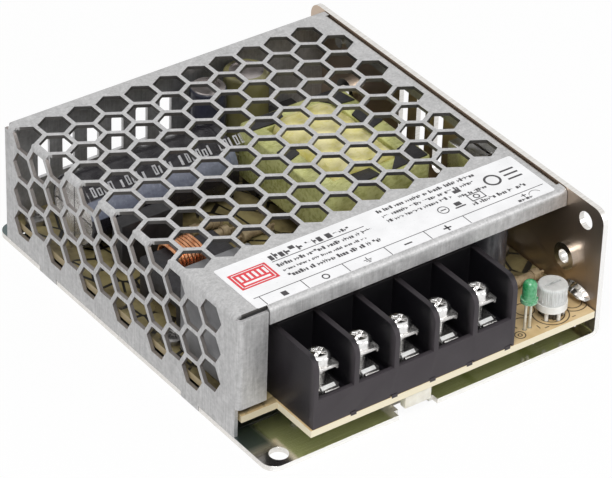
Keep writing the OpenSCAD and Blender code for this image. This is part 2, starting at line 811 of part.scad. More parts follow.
// Two copper windings round the long legs of the filter core
module filter_windings() {
    wire = 1;
    pitch = wire + 0.08;
    turns = floor((filter_w - 2 * filter_leg) / pitch);
    bundle = 1.6;
    first_x = filter_x + (filter_w - turns * pitch) / 2;
    core_z = board_top + filter_foot_h;
    color([0.72, 0.38, 0.20]) for (y = [0, filter_l - filter_leg], k = [0 : turns - 1])
        translate([first_x + k * pitch, filter_y + y, core_z]) difference() {
            translate([0, -bundle, -bundle]) cube([wire, filter_leg + 2 * bundle, filter_core_h + 2 * bundle]);
            translate([-cut, 0, 0]) cube([wire + 2 * cut, filter_leg, filter_core_h]);
        }
}

module fuse() {
    cap_l = 4;
    cap_dia = 6;
    fuse_l = box_l - 3;
    color([0.85, 0.83, 0.76]) translate([xcap_x + box_w + 5, xcap_y + 1, board_top + cap_dia / 2])
        rotate([-90, 0, 0]) {
            cylinder(fuse_l, d = 4.6);
            for (y = [-0.6, fuse_l + 0.6 - cap_l]) translate([0, 0, y]) cylinder(cap_l, d = cap_dia);
        }
}

module surge_limiter() {
    limiter_r = 5;
    limiter_t = 3;
    rim_r = 0.5;
    color([0.18, 0.30, 0.22]) translate([xcap_x + box_w + 9 + 2 * grow_w, xcap_y + 4, board_top + limiter_r + rim_r])
        rotate([0, 90, 0]) rotate_extrude() {
            square([limiter_r, limiter_t]);
            translate([limiter_r, limiter_t / 2]) circle(rim_r);
        }
}

module disc_capacitor() {
    disc_d = 8.4;
    disc_t = 3;
    lead_gap = 5;
    color([0.10, 0.38, 0.70]) translate([filter_x + filter_w + 5, filter_y + 1.6, board_top]) {
        translate([0, 0, disc_d / 2 + 3.4]) rotate([90, 0, 0]) rotate_extrude() {
            square([disc_d / 2 - 1.2, disc_t]);
            translate([(disc_d - disc_t) / 2, disc_t / 2]) circle(disc_t / 2);
        }
        for (s = [-1, 1]) translate([s * lead_gap / 2, -disc_t / 2, 0]) cylinder(disc_d / 2 + 2, d = lead_d);
    }
}

module bridge_rectifier() {
    bridge_w = 15;
    bridge_t = 3.6;
    bridge_h = 10.5;
    stand_off = 1.5;
    chamfer = 1.7;
    pin_w = 0.8;
    color([0.10, 0.10, 0.11]) translate([along_x(7.2), bulk_y - bulk_can_d / 2 - 7 * grow_l, board_top]) {
        translate([0, bridge_t, stand_off]) rotate([90, 0, 0]) linear_extrude(bridge_t)
            polygon([[0, 0], [bridge_w, 0], [bridge_w, bridge_h - chamfer],
                     [bridge_w - chamfer, bridge_h], [0, bridge_h]]);
        for (k = [0 : 3]) translate([1.6 + k * 3.8, 1.4, 0]) cube([pin_w, pin_w, stand_off + eps]);
    }
}

xfmr_leg = 4.6;
bobbin_foot_h = 4.5;
bobbin_floor_z = 2.4;
bobbin_floor_t = 1.2;
winding_gap = 0.4;
winding_w = core_w - 2 * xfmr_leg - 2 * winding_gap;
winding_l = core_l - 2 * xfmr_leg - 2 * winding_gap;

// Ferrite core: closed frame round the winding
module transformer_core() {
    chamfer = 1.4;
    color([0.12, 0.11, 0.12]) translate([xfmr_x, xfmr_y, board_top + bobbin_foot_h])
        linear_extrude(xfmr_core_top * grow_h - bobbin_foot_h) difference() {
            square([core_w, core_l]);
            translate([xfmr_leg, xfmr_leg]) square([core_w - 2 * xfmr_leg, core_l - 2 * xfmr_leg]);
            for (x = [0, core_w], y = [0, core_l])
                translate([x, y]) rotate(45) square(chamfer * sqrt(2), center = true);
        }
}

// Bobbin: foot rails with the pins that carry the core
module transformer_bobbin() {
    rail = 5;
    rail_inset = 2;
    color([0.15, 0.14, 0.13]) translate([xfmr_x, xfmr_y, board_top]) {
        for (y = [0, core_l - rail])
            translate([rail_inset, y, 0]) cube([core_w - 2 * rail_inset, rail, bobbin_foot_h]);
        translate([xfmr_leg + winding_gap, rail - eps, bobbin_floor_z])
            cube([winding_w, core_l - 2 * rail + 2 * eps, bobbin_floor_t]);
    }
}

// Tape-wrapped winding, crowned above the core
module transformer_winding() {
    foot_z = bobbin_floor_z + bobbin_floor_t;
    h = xfmr_top * grow_h - foot_z;
    crown_r = 4;
    color([0.90, 0.84, 0.42])
        translate([xfmr_x + core_w / 2, xfmr_y + xfmr_leg + winding_gap + winding_l, board_top + foot_z])
        rotate([90, 0, 0]) linear_extrude(winding_l) {
            translate([-winding_w / 2, 0]) square([winding_w, h - crown_r]);
            translate([-winding_w / 2 + crown_r, 0]) square([winding_w - 2 * crown_r, h]);
            for (s = [-1, 1]) translate([s * (winding_w / 2 - crown_r), h - crown_r]) circle(crown_r);
        }
}

module power_transistor() {
    body_w = 10;
    body_l = 9;
    body_t = 4.4;
    pin_w = 0.8;
    pin_t = 0.5;
    pin_z = 2;
    reach = 3;
    color([0.13, 0.13, 0.13]) translate([along_x(61.4), board_back - body_l - 0.1, board_top]) {
        cube([body_w, body_l, body_t]);
        for (k = [-1 : 1]) translate([body_w / 2 + k * 2.5 - pin_w / 2, -reach, 0]) {
            translate([0, 0, pin_z]) cube([pin_w, reach + eps, pin_t]);
            cube([pin_w, pin_t, pin_z + pin_t]);
        }
    }
}

rectifier_t = 4.4;
clip_top = cover_top - hem_h - 0.3 - board_top;

// Output rectifier standing against the wall
module output_rectifier() {
    pin_h = 4;
    color([0.12, 0.12, 0.13]) translate([wall_in - rectifier_t, rectifier_y, board_top]) {
        translate([0, 0, pin_h]) cube([rectifier_t, rectifier_l, clip_top - 1 - pin_h]);
        for (k = [-1 : 1]) translate([1.9, rectifier_l / 2 + k * 2.5 - 0.4, 0]) cube([0.6, 0.8, pin_h + eps]);
    }
}

// Spring clip that presses the rectifier on the wall
module rectifier_clip() {
    clip_t = 0.6;
    clip_w = 8.6;
    clip_h = 10;
    color([0.8, 0.8, 0.8]) translate([wall_in, rectifier_y + (rectifier_l - clip_w) / 2, board_top]) {
        translate([-rectifier_t - clip_t, 0, clip_top - clip_h]) cube([clip_t, clip_w, clip_h]);
        translate([-rectifier_t - clip_t, 0, clip_top - clip_t]) cube([rectifier_t + clip_t, clip_w, clip_t]);
    }
}

module output_capacitors() {
    color([0.11, 0.11, 0.14]) for (p = output_caps)
        translate([p[0], p[1], board_top]) upright_can(can_d, can_h - 2);
}

module rear_capacitors() {
    color([0.12, 0.14, 0.22]) for (p = rear_caps)
        translate([p[0], p[1], board_top]) upright_can(p[2], p[3]);
}

// Output choke: copper turns on a small round core, standing
module output_choke() {
    choke_r = 4.2;
    wire_r = 0.55;
    rows = 7;
    foot_t = 0.6;
    color([0.70, 0.36, 0.18]) translate([along_x(52.8), along_y(17.6), board_top]) {
        cylinder(foot_t + (2 * rows + 1.2) * wire_r, r = choke_r - wire_r);
        rotate_extrude() for (k = [0 : rows - 1])
            translate([choke_r - wire_r, foot_t + (2 * k + 1.1) * wire_r]) circle(wire_r);
        cylinder(foot_t, r = choke_r);
    }
}

module optocoupler() {
    body_w = 4.6;
    body_l = 6.4;
    pin_w = 1;
    pin_t = 0.4;
    reach = 1.2;
    pin_z = 1.8;
    color([0.90, 0.90, 0.88]) translate([along_x(41.4), along_y(16.5), board_top]) {
        translate([0, 0, 0.5]) cube([body_w, body_l, 3.4]);
        for (s = [0, 1], y = [1.4, 4]) translate([s * body_w, y, 0]) mirror([1 - s, 0]) {
            translate([reach - pin_t, 0, 0]) cube([pin_t, pin_w, pin_z + pin_t]);
            translate([-eps, 0, pin_z]) cube([reach + eps, pin_w, pin_t]);
        }
    }
}

module control_chip() {
    body_w = 6;
    body_l = 4;
    pins = 4;
    pin_pitch = 1.27;
    pin_w = 0.45;
    pin_l = 0.9;
    color([0.10, 0.10, 0.10]) translate([along_x(33.4), along_y(19), board_top]) {
        translate([0, 0, 0.15]) cube([body_w, body_l, 1.5]);
        for (k = [0 : pins - 1], y = [-pin_l, body_l - eps])
            translate([(body_w - (pins - 1) * pin_pitch - pin_w) / 2 + k * pin_pitch, y, 0])
                cube([pin_w, pin_l + eps, 0.6]);
    }
}

resistor_spots = [[along_x(30), along_y(51.8)], [along_x(30), along_y(48)], [along_x(37.8), along_y(44.4)],
                  [along_x(27.6), along_y(21.4)], [along_x(73.8), along_y(0)]];

module resistors() {
    axis_z = 1.3;
    end_l = 1.6;
    body_half = 3.4;
    lead_half = 4.6;
    lead_r = lead_d / 2;
    color([0.55, 0.62, 0.66]) for (p = resistor_spots) translate([p[0], p[1], board_top]) {
        translate([0, 0, axis_z]) rotate([0, 90, 0]) {
            cylinder(2 * body_half - 0.8, d = 1.9, center = true);
            for (s = [-1, 1]) translate([0, 0, s * (body_half - end_l / 2)]) cylinder(end_l, d = 2.5, center = true);
            cylinder(2 * (lead_half + lead_r), r = lead_r, center = true);
        }
        for (s = [-1, 1]) translate([s * lead_half, 0, 0]) cylinder(axis_z, r = lead_r);
    }
}

chassis();
cover();
cover_screws();
insulating_sheet();
label();
circuit_board();
board_standoffs();
board_screws();
edge_spacer();
terminal_block();
terminal_contacts();
for (i = index) {
    clamp_plate(i);
    terminal_screw(i);
}
power_lamp();
lamp_leads();
trimmer_base();
trimmer_knob();
bulk_capacitor();
line_capacitor();
filter_core();
filter_windings();
fuse();
surge_limiter();
disc_capacitor();
bridge_rectifier();
transformer_core();
transformer_bobbin();
transformer_winding();
power_transistor();
output_rectifier();
rectifier_clip();
output_capacitors();
rear_capacitors();
output_choke();
optocoupler();
control_chip();
resistors();
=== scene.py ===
import json
import math
import random

import bmesh
import bpy
from mathutils import Matrix, Vector, noise


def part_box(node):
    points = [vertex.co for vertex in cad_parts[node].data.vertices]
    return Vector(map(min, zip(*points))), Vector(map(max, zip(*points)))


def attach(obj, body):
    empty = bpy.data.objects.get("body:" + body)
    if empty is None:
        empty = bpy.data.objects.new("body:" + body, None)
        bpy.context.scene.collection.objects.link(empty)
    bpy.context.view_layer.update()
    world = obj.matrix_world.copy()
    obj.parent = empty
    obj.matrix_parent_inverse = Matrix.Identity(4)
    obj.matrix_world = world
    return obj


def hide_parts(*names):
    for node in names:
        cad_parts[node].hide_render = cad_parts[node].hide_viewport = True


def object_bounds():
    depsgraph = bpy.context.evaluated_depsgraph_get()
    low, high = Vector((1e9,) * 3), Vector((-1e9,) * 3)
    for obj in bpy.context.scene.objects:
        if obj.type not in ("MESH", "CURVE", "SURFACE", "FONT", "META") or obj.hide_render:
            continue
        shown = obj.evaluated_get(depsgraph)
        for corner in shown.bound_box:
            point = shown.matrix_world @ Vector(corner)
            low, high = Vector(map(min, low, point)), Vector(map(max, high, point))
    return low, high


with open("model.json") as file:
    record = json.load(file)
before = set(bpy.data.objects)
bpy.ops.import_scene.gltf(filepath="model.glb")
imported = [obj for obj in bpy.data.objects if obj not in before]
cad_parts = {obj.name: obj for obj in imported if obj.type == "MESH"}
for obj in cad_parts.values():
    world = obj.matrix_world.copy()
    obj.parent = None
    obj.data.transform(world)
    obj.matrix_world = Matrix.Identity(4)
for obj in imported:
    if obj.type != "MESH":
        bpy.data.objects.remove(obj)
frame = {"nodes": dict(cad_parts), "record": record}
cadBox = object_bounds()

mm = 0.001
nodes = frame["nodes"]


def nodeBox(name):
    low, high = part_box(name)
    return Vector(low), Vector(high)


def bodyOf(name):
    for body, members in frame["record"]["behaviour"]["bodies"].items():
        if name in members:
            return body


# camera and light

cameraView = {
    "target": (-1.46, -6.02, 15.0),   # mm
    "azimuth": -37.1,
    "elevation": 34.68,
    "roll": 1.93,
    "distance": 732.4,                # mm
    "focalLength": 212.0,             # mm on a 36 mm sensor
}


def addCamera():
    data = bpy.data.cameras.new("viewCamera")
    camera = bpy.data.objects.new("viewCamera", data)
    bpy.context.collection.objects.link(camera)
    azimuth = math.radians(cameraView["azimuth"])
    elevation = math.radians(cameraView["elevation"])
    back = Vector((math.sin(azimuth) * math.cos(elevation),
                   -math.cos(azimuth) * math.cos(elevation),
                   math.sin(elevation)))
    camera.location = (Vector(cameraView["target"]) + back * cameraView["distance"]) * mm
    aim = (-back).to_track_quat("-Z", "Y")
    roll = Matrix.Rotation(math.radians(cameraView["roll"]), 4, "Z")
    camera.rotation_mode = "QUATERNION"
    camera.rotation_quaternion = (aim.to_matrix().to_4x4() @ roll).to_quaternion()
    data.sensor_width = 36
    data.lens = cameraView["focalLength"]
    data.clip_start = 0.01
    data.clip_end = 20
    bpy.context.scene.camera = camera


studio = {
    "skyLight": 0.5,
    "skyInMetal": 1.0,
    "keyPower": 4.2,
    "keySize": 0.4,
    "fillPower": 0.9,
    "floorShade": 0.9,
    "floorGlow": 0.93,
}


def addLamp(name, place, aimAt, power, size):
    data = bpy.data.lights.new(name, "AREA")
    data.energy = power
    data.size = size
    lamp = bpy.data.objects.new(name, data)
    bpy.context.collection.objects.link(lamp)
    lamp.location = place
    lamp.rotation_mode = "QUATERNION"
    lamp.rotation_quaternion = (Vector(aimAt) - Vector(place)).to_track_quat("-Z", "Y")


def addWorld():
    world = bpy.data.worlds.new("studioSky")
    bpy.context.scene.world = world
    world.use_nodes = True
    tree = world.node_tree
    tree.nodes.clear()
    out = tree.nodes.new("ShaderNodeOutputWorld")
    soft, seen = (tree.nodes.new("ShaderNodeBackground") for _ in range(2))
    for sky, light in ((soft, "skyLight"), (seen, "skyInMetal")):
        sky.inputs["Color"].default_value = (1, 1, 1, 1)
        sky.inputs["Strength"].default_value = studio[light]
    path = tree.nodes.new("ShaderNodeLightPath")
    either, through = (tree.nodes.new("ShaderNodeMath") for _ in range(2))
    either.operation = through.operation = "MAXIMUM"
    mix = tree.nodes.new("ShaderNodeMixShader")
    tree.links.new(path.outputs["Is Camera Ray"], either.inputs[0])
    tree.links.new(path.outputs["Is Glossy Ray"], either.inputs[1])
    tree.links.new(either.outputs[0], through.inputs[0])
    tree.links.new(path.outputs["Is Transmission Ray"], through.inputs[1])
    tree.links.new(through.outputs[0], mix.inputs["Fac"])
    tree.links.new(soft.outputs[0], mix.inputs[1])
    tree.links.new(seen.outputs[0], mix.inputs[2])
    tree.links.new(mix.outputs[0], out.inputs["Surface"])


def addFloor():
    mesh = bpy.data.meshes.new("floor")
    reach = 3.0
    mesh.from_pydata([(-reach, -reach, 0), (reach, -reach, 0), (reach, reach, 0), (-reach, reach, 0)],
                     [], [(0, 1, 2, 3)])
    floor = bpy.data.objects.new("floor", mesh)
    bpy.context.collection.objects.link(floor)
    floor.location.z = cadBox[0][2] - 0.02 * mm
    material = bpy.data.materials.new("paleFloor")
    material.use_nodes = True
    tree = material.node_tree
    shader = tree.nodes["Principled BSDF"]
    shade = studio["floorShade"]
    shader.inputs["Base Color"].default_value = (shade, shade, shade, 1)
    shader.inputs["Roughness"].default_value = 0.9
    shader.inputs["Specular IOR Level"].default_value = 0.1
    glow = tree.nodes.new("ShaderNodeEmission")
    glow.inputs["Color"].default_value = (1, 1, 1, 1)
    glow.inputs["Strength"].default_value = 1.0
    path = tree.nodes.new("ShaderNodeLightPath")
    half = tree.nodes.new("ShaderNodeMath")
    half.operation = "MULTIPLY"
    half.inputs[1].default_value = studio["floorGlow"]
    mix = tree.nodes.new("ShaderNodeMixShader")
    tree.links.new(path.outputs["Is Camera Ray"], half.inputs[0])
    tree.links.new(half.outputs[0], mix.inputs["Fac"])
    tree.links.new(shader.outputs[0], mix.inputs[1])
    tree.links.new(glow.outputs[0], mix.inputs[2])
    tree.links.new(mix.outputs[0], tree.nodes["Material Output"].inputs["Surface"])
    floor.data.materials.append(material)


addCamera()
addWorld()
addFloor()
addLamp("keyLamp", (-0.25, -0.35, 0.75), (0, 0, 0), studio["keyPower"], studio["keySize"])
addLamp("fillLamp", (0.5, -0.6, 0.4), (0, 0, 0.01), studio["fillPower"], 0.4)
bpy.context.scene.view_settings.view_transform = "Standard"
print("camera and studio ready")


# material helpers

def startMaterial(name, color, roughness=0.5, metallic=0.0):
    material = bpy.data.materials.new(name)
    material.use_nodes = True
    shader = material.node_tree.nodes["Principled BSDF"]
    shader.inputs["Base Color"].default_value = (*color, 1)
    shader.inputs["Roughness"].default_value = roughness
    shader.inputs["Metallic"].default_value = metallic
    return material, shader


def pointInMm(tree, stretch=(1, 1, 1)):
    place = tree.nodes.new("ShaderNodeTexCoord")
    scale = tree.nodes.new("ShaderNodeMapping")
    scale.inputs["Scale"].default_value = [s / mm for s in stretch]
    tree.links.new(place.outputs["Object"], scale.inputs["Vector"])
    return scale.outputs[0]


def noiseOver(tree, point, size, detail=3.0, rough=0.55):
    clouds = tree.nodes.new("ShaderNodeTexNoise")
    for key, value in (("Scale", 1 / size), ("Detail", detail), ("Roughness", rough)):
        clouds.inputs[key].default_value = value
    tree.links.new(point, clouds.inputs["Vector"])
    return clouds.outputs["Fac"]


def cellsOver(tree, point, size, feature="F1", output="Color"):
    cells = tree.nodes.new("ShaderNodeTexVoronoi")
    cells.feature = feature
    cells.inputs["Scale"].default_value = 1 / size
    tree.links.new(point, cells.inputs["Vector"])
    return cells.outputs[output]


def rampOver(tree, value, stops):
    ramp = tree.nodes.new("ShaderNodeValToRGB")
    elements = ramp.color_ramp.elements
    while len(elements) > 1:
        elements.remove(elements[0])
    elements[0].position = stops[0][0]
    elements[0].color = (*stops[0][1], 1)
    for place, color in stops[1:]:
        elements.new(place).color = (*color, 1)
    tree.links.new(value, ramp.inputs["Fac"])
    return ramp.outputs["Color"]


def spreadOver(tree, value, low, high):
    spread = tree.nodes.new("ShaderNodeMapRange")
    spread.inputs["To Min"].default_value = low
    spread.inputs["To Max"].default_value = high
    tree.links.new(value, spread.inputs["Value"])
    return spread.outputs[0]


def placeOver(tree):
    # the point's x, y and z in mm
    apart = tree.nodes.new("ShaderNodeSeparateXYZ")
    tree.links.new(pointInMm(tree), apart.inputs[0])
    return apart.outputs["X"], apart.outputs["Y"], apart.outputs["Z"]


def facingOver(tree):
    # how far the face looks along x, y and z
    facing = tree.nodes.new("ShaderNodeNewGeometry")
    apart = tree.nodes.new("ShaderNodeSeparateXYZ")
    tree.links.new(facing.outputs["True Normal"], apart.inputs[0])
    return apart.outputs["X"], apart.outputs["Y"], apart.outputs["Z"]


def mathOver(tree, operation, *values):
    step = tree.nodes.new("ShaderNodeMath")
    step.operation = operation
    for k, value in enumerate(values):
        if isinstance(value, (int, float)):
            step.inputs[k].default_value = value
        else:
            tree.links.new(value, step.inputs[k])
    return step.outputs[0]


def fadeOver(tree, value, start, end):
    # 0 at start and 1 at end
    fade = tree.nodes.new("ShaderNodeMapRange")
    fade.inputs["From Min"].default_value = start
    fade.inputs["From Max"].default_value = end
    tree.links.new(value, fade.inputs["Value"])
    return fade.outputs[0]


def allOver(tree, *masks):
    result = masks[0]
    for mask in masks[1:]:
        result = mathOver(tree, "MULTIPLY", result, mask)
    return result


def awayFrom(tree, value, center):
    return mathOver(tree, "SUBTRACT", value, center)


def reachOver(tree, first, firstCenter, second, secondCenter):
    # distance from an axis
    squares = [mathOver(tree, "POWER", awayFrom(tree, value, center), 2.0)
               for value, center in ((first, firstCenter), (second, secondCenter))]
    return mathOver(tree, "SQRT", mathOver(tree, "ADD", *squares))


def mixOver(tree, mask, under, over):
    mix = tree.nodes.new("ShaderNodeMix")
    mix.data_type = "RGBA"
    tree.links.new(mask, mix.inputs[0])
    for color, socket in ((under, mix.inputs[6]), (over, mix.inputs[7])):
        if isinstance(color, tuple):
            socket.default_value = (*color, 1)
        else:
            tree.links.new(color, socket)
    return mix.outputs[2]


def addBump(tree, shader, height, depth):
    bump = tree.nodes.new("ShaderNodeBump")
    bump.inputs["Strength"].default_value = 1.0
    bump.inputs["Distance"].default_value = depth * mm
    tree.links.new(height, bump.inputs["Height"])
    tree.links.new(bump.outputs[0], shader.inputs["Normal"])


def mottledMaterial(name, dark, pale, size, roughness, metallic=0.0, bumpDepth=0.02, roughSpread=0.08,
                    stretch=(1, 1, 1), more=None):
    material, shader = startMaterial(name, pale, roughness, metallic)
    tree = material.node_tree
    point = pointInMm(tree, stretch)
    grain = noiseOver(tree, point, size)
    tree.links.new(rampOver(tree, grain, [(0.3, dark), (0.7, pale)]), shader.inputs["Base Color"])
    fine = noiseOver(tree, point, size / 6, detail=2)
    tree.links.new(spreadOver(tree, fine, roughness - roughSpread, roughness + roughSpread),
                   shader.inputs["Roughness"])
    addBump(tree, shader, fine, bumpDepth)
    for key, value in (more or {}).items():
        shader.inputs[key].default_value = value
    return material


# mesh helpers

def meshObject(name, verts, faces, material, body="case", smooth=None):
    mesh = bpy.data.meshes.new(name)
    mesh.from_pydata(verts, [], faces)
    mesh.validate()
    return placeMesh(name, mesh, material, body, smooth)


def placeMesh(name, mesh, material, body="case", smooth=None):
    piece = bpy.data.objects.new(name, mesh)
    bpy.context.collection.objects.link(piece)
    mesh.materials.clear()
    mesh.materials.append(material)
    if smooth is not None:
        mesh.shade_smooth()
        mesh.set_sharp_from_angle(angle=math.radians(smooth))
    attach(piece, body)
    return piece


def bmeshToPiece(name, work, material, body="case", smooth=None):
    mesh = bpy.data.meshes.new(name)
    bmesh.ops.recalc_face_normals(work, faces=work.faces)
    work.to_mesh(mesh)
    work.free()
    return placeMesh(name, mesh, material, body, smooth)


def cleanCopy(node):
    work = bmesh.new()
    work.from_mesh(nodes[node].data)
    bmesh.ops.remove_doubles(work, verts=work.verts, dist=0.002 * mm)
    bmesh.ops.dissolve_limit(work, angle_limit=math.radians(1.0), verts=work.verts, edges=work.edges)
    return work


def softenedCopy(node, pieceName, material, width, segments=2, sharp=32, reshape=None, smooth=30):
    work = cleanCopy(node)
    if reshape:
        reshape(work)
    limit = math.radians(sharp)
    corners = [edge for edge in work.edges if len(edge.link_faces) == 2 and edge.calc_face_angle(0) > limit]
    roundEdges(work, width, corners, segments)
    piece = bmeshToPiece(pieceName, work, material, bodyOf(node), smooth)
    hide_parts(node)
    return piece


def dressNode(node, material):
    piece = nodes[node]
    for slotNumber in range(len(piece.material_slots)):
        piece.material_slots[slotNumber].material = material


def boxInto(work, low, high):
    corners = [work.verts.new((x * mm, y * mm, z * mm))
               for z in (low[2], high[2]) for y in (low[1], high[1]) for x in (low[0], high[0])]
    for quad in ((0, 2, 3, 1), (4, 5, 7, 6), (0, 1, 5, 4), (2, 6, 7, 3), (0, 4, 6, 2), (1, 3, 7, 5)):
        work.faces.new([corners[k] for k in quad])


def blockBetween(work, ring, after):
    # closes two rings of corners, in mm, into a block
    rings = [[work.verts.new(Vector(corner) * mm) for corner in corners] for corners in (ring, after)]
    count = len(ring)
    for k in range(count):
        work.faces.new((rings[0][k], rings[0][(k + 1) % count], rings[1][(k + 1) % count], rings[1][k]))
    work.faces.new(list(reversed(rings[0])))
    work.faces.new(rings[1])


def roundEdges(work, width, edges=None, segments=2):
    if edges is None:
        edges = list(work.edges)
    bmesh.ops.bevel(work, geom=edges, offset=width * mm, segments=segments,
                    profile=0.5, affect="EDGES", clamp_overlap=True)


def tubeAlong(points, radius, sides=10):
    # a round tube through a list of Vectors in mm
    work = bmesh.new()
    rings = []
    count = len(points)
    up = Vector((0, 0, 1))
    for k, point in enumerate(points):
        along = (points[min(k + 1, count - 1)] - points[max(k - 1, 0)]).normalized()
        side = along.cross(up)
        if side.length < 0.05:
            side = along.cross(Vector((1, 0, 0)))
        side.normalize()
        up = side.cross(along).normalized()
        ring = [work.verts.new((point + radius * (math.cos(a) * side + math.sin(a) * up)) * mm)
                for a in (2 * math.pi * s / sides for s in range(sides))]
        rings.append(ring)
    for ring, after in zip(rings, rings[1:]):
        for s in range(sides):
            work.faces.new((ring[s], ring[(s + 1) % sides], after[(s + 1) % sides], after[s]))
    work.faces.new(list(reversed(rings[0])))
    work.faces.new(rings[-1])
    return work


def lathe(profile, center, steps=48):
    # revolves (radius, height) pairs in mm round an upright axis through center
    work = bmesh.new()
    rings = []
    for radius, height in profile:
        ring = []
        for s in range(steps):
            a = 2 * math.pi * s / steps
            spot = Vector((radius * math.cos(a), radius * math.sin(a), height))
            ring.append(work.verts.new((Vector(center) + spot) * mm))
        rings.append(ring)
    for ring, after in zip(rings, rings[1:]):
        for s in range(steps):
            work.faces.new((ring[s], ring[(s + 1) % steps], after[(s + 1) % steps], after[s]))
    work.faces.new(list(reversed(rings[0])))
    work.faces.new(rings[-1])
    return work


def barQuad(x0, y0, x1, y1):
    return [[(x0, y0), (x1, y0), (x1, y1), (x0, y1)]]


def ringQuads(x, y, radius, width, start=0, end=360, steps=32):
    quads = []
    inner = radius - width
    for k in range(steps):
        a, b = (math.radians(start + (end - start) * n / steps) for n in (k, k + 1))
        quads.append([(x + r * math.cos(t), y + r * math.sin(t))
                      for r, t in ((inner, a), (radius, a), (radius, b), (inner, b))])
    return quads


def printPiece(name, quads, height, material, lift=None):
    # flat ink, laid on at a height in mm or lifted point by point
    verts, faces = [], []
    for quad in quads:
        faces.append(tuple(range(len(verts), len(verts) + len(quad))))
        for x, y in quad:
            spot = lift(x, y) if lift else (x, y, height)
            verts.append([c * mm for c in spot])
    piece = meshObject(name, verts, faces, material)
    return piece


def extraPiece(name, work, material, body="case", smooth=35):
    piece = bmeshToPiece(name, work, material, body, smooth)
    return piece


# case

sheetLook = {
    "coverDark": (0.38, 0.378, 0.378),
    "coverPale": (0.62, 0.615, 0.615),
    # the cut walls of the holes on top and on the side, darker as cut steel and darker still as painted
    # shade, most on the top sheet
    "topCutAndShade": (0.12, 0.115, 0.11),
    "sideCutAndShade": (0.30, 0.275, 0.26),
    "spangle": 1.7,          # mm
    "coverEdge": 0.11,       # mm
    "punchedEdge": (0.30, 0.29, 0.28),
    "baseDark": (0.66, 0.64, 0.61),
    "basePale": (0.84, 0.82, 0.79),
    # the front-facing cut faces near the front, painted near white as a painted highlight
    "baseCutHighlight": (0.93, 0.92, 0.90),
    "topFrom": 28.9,         # mm, just under the top sheet
    "sideFrom": -40.1,       # mm, just inside the left sheet
    "lipBack": -37.2,        # mm, just behind the front lip
    # the inside of the right wall: painted shade with a painted brown reflection of the board, darker
    # towards the front
    "wallShade": (0.62, 0.50, 0.40),
    "wallFront": (0.44, 0.38, 0.33),
    "cornerShade": (0.12, 0.15, 0.15),
}


def galvanisedMaterial():
    material, shader = startMaterial("galvanisedSheet", sheetLook["coverPale"], 0.42, 0.7)
    tree = material.node_tree
    cells = cellsOver(tree, pointInMm(tree), sheetLook["spangle"])
    grey = tree.nodes.new("ShaderNodeRGBToBW")
    tree.links.new(cells, grey.inputs[0])
    cloud = noiseOver(tree, pointInMm(tree), 0.8, detail=4, rough=0.7)
    streaks = noiseOver(tree, pointInMm(tree, (1, 1, 0.06)), 0.45, detail=3, rough=0.7)
    blend = mathOver(tree, "MULTIPLY_ADD", grey.outputs[0], 0.10, mathOver(tree, "MULTIPLY", cloud, 0.5))
    blend = mathOver(tree, "MULTIPLY_ADD", streaks, 0.45, blend)
    color = rampOver(tree, blend, [(0.36, sheetLook["coverDark"]), (0.68, sheetLook["coverPale"])])
    x, y, z = placeOver(tree)
    facingX, _, facingZ = facingOver(tree)
    lipBack, topFrom, sideFrom = (sheetLook[key] for key in ("lipBack", "topFrom", "sideFrom"))
    behindLip = fadeOver(tree, y, lipBack - 0.1, lipBack)
    upright = mathOver(tree, "ABSOLUTE", facingZ)
    sideways = mathOver(tree, "ABSOLUTE", facingX)
    onTop = allOver(tree, fadeOver(tree, z, topFrom - 0.05, topFrom + 0.05), behindLip,
                    fadeOver(tree, x, sideFrom + 0.5, sideFrom + 0.7))
    onSide = allOver(tree, fadeOver(tree, x, sideFrom + 0.05, sideFrom - 0.05), behindLip,
                     fadeOver(tree, z, topFrom, topFrom - 0.1))
    edge = mathOver(tree, "MAXIMUM", allOver(tree, onTop, fadeOver(tree, upright, 0.95, 0.85)),
                    allOver(tree, onSide, fadeOver(tree, sideways, 0.95, 0.85)))
    color = mixOver(tree, edge, color, sheetLook["punchedEdge"])
    # painted shade: the cut walls of the holes darkened, the top sheet's much more than the side's
    topCutAndShade = allOver(tree, onTop, fadeOver(tree, upright, 0.65, 0.55))
    sideCutAndShade = allOver(tree, onSide, fadeOver(tree, sideways, 0.65, 0.55))
    color = mixOver(tree, topCutAndShade, color, sheetLook["topCutAndShade"])
    tree.links.new(mixOver(tree, sideCutAndShade, color, sheetLook["sideCutAndShade"]), shader.inputs["Base Color"])
    tree.links.new(spreadOver(tree, cloud, 0.36, 0.52), shader.inputs["Roughness"])
    addBump(tree, shader, streaks, 0.01)
    return material


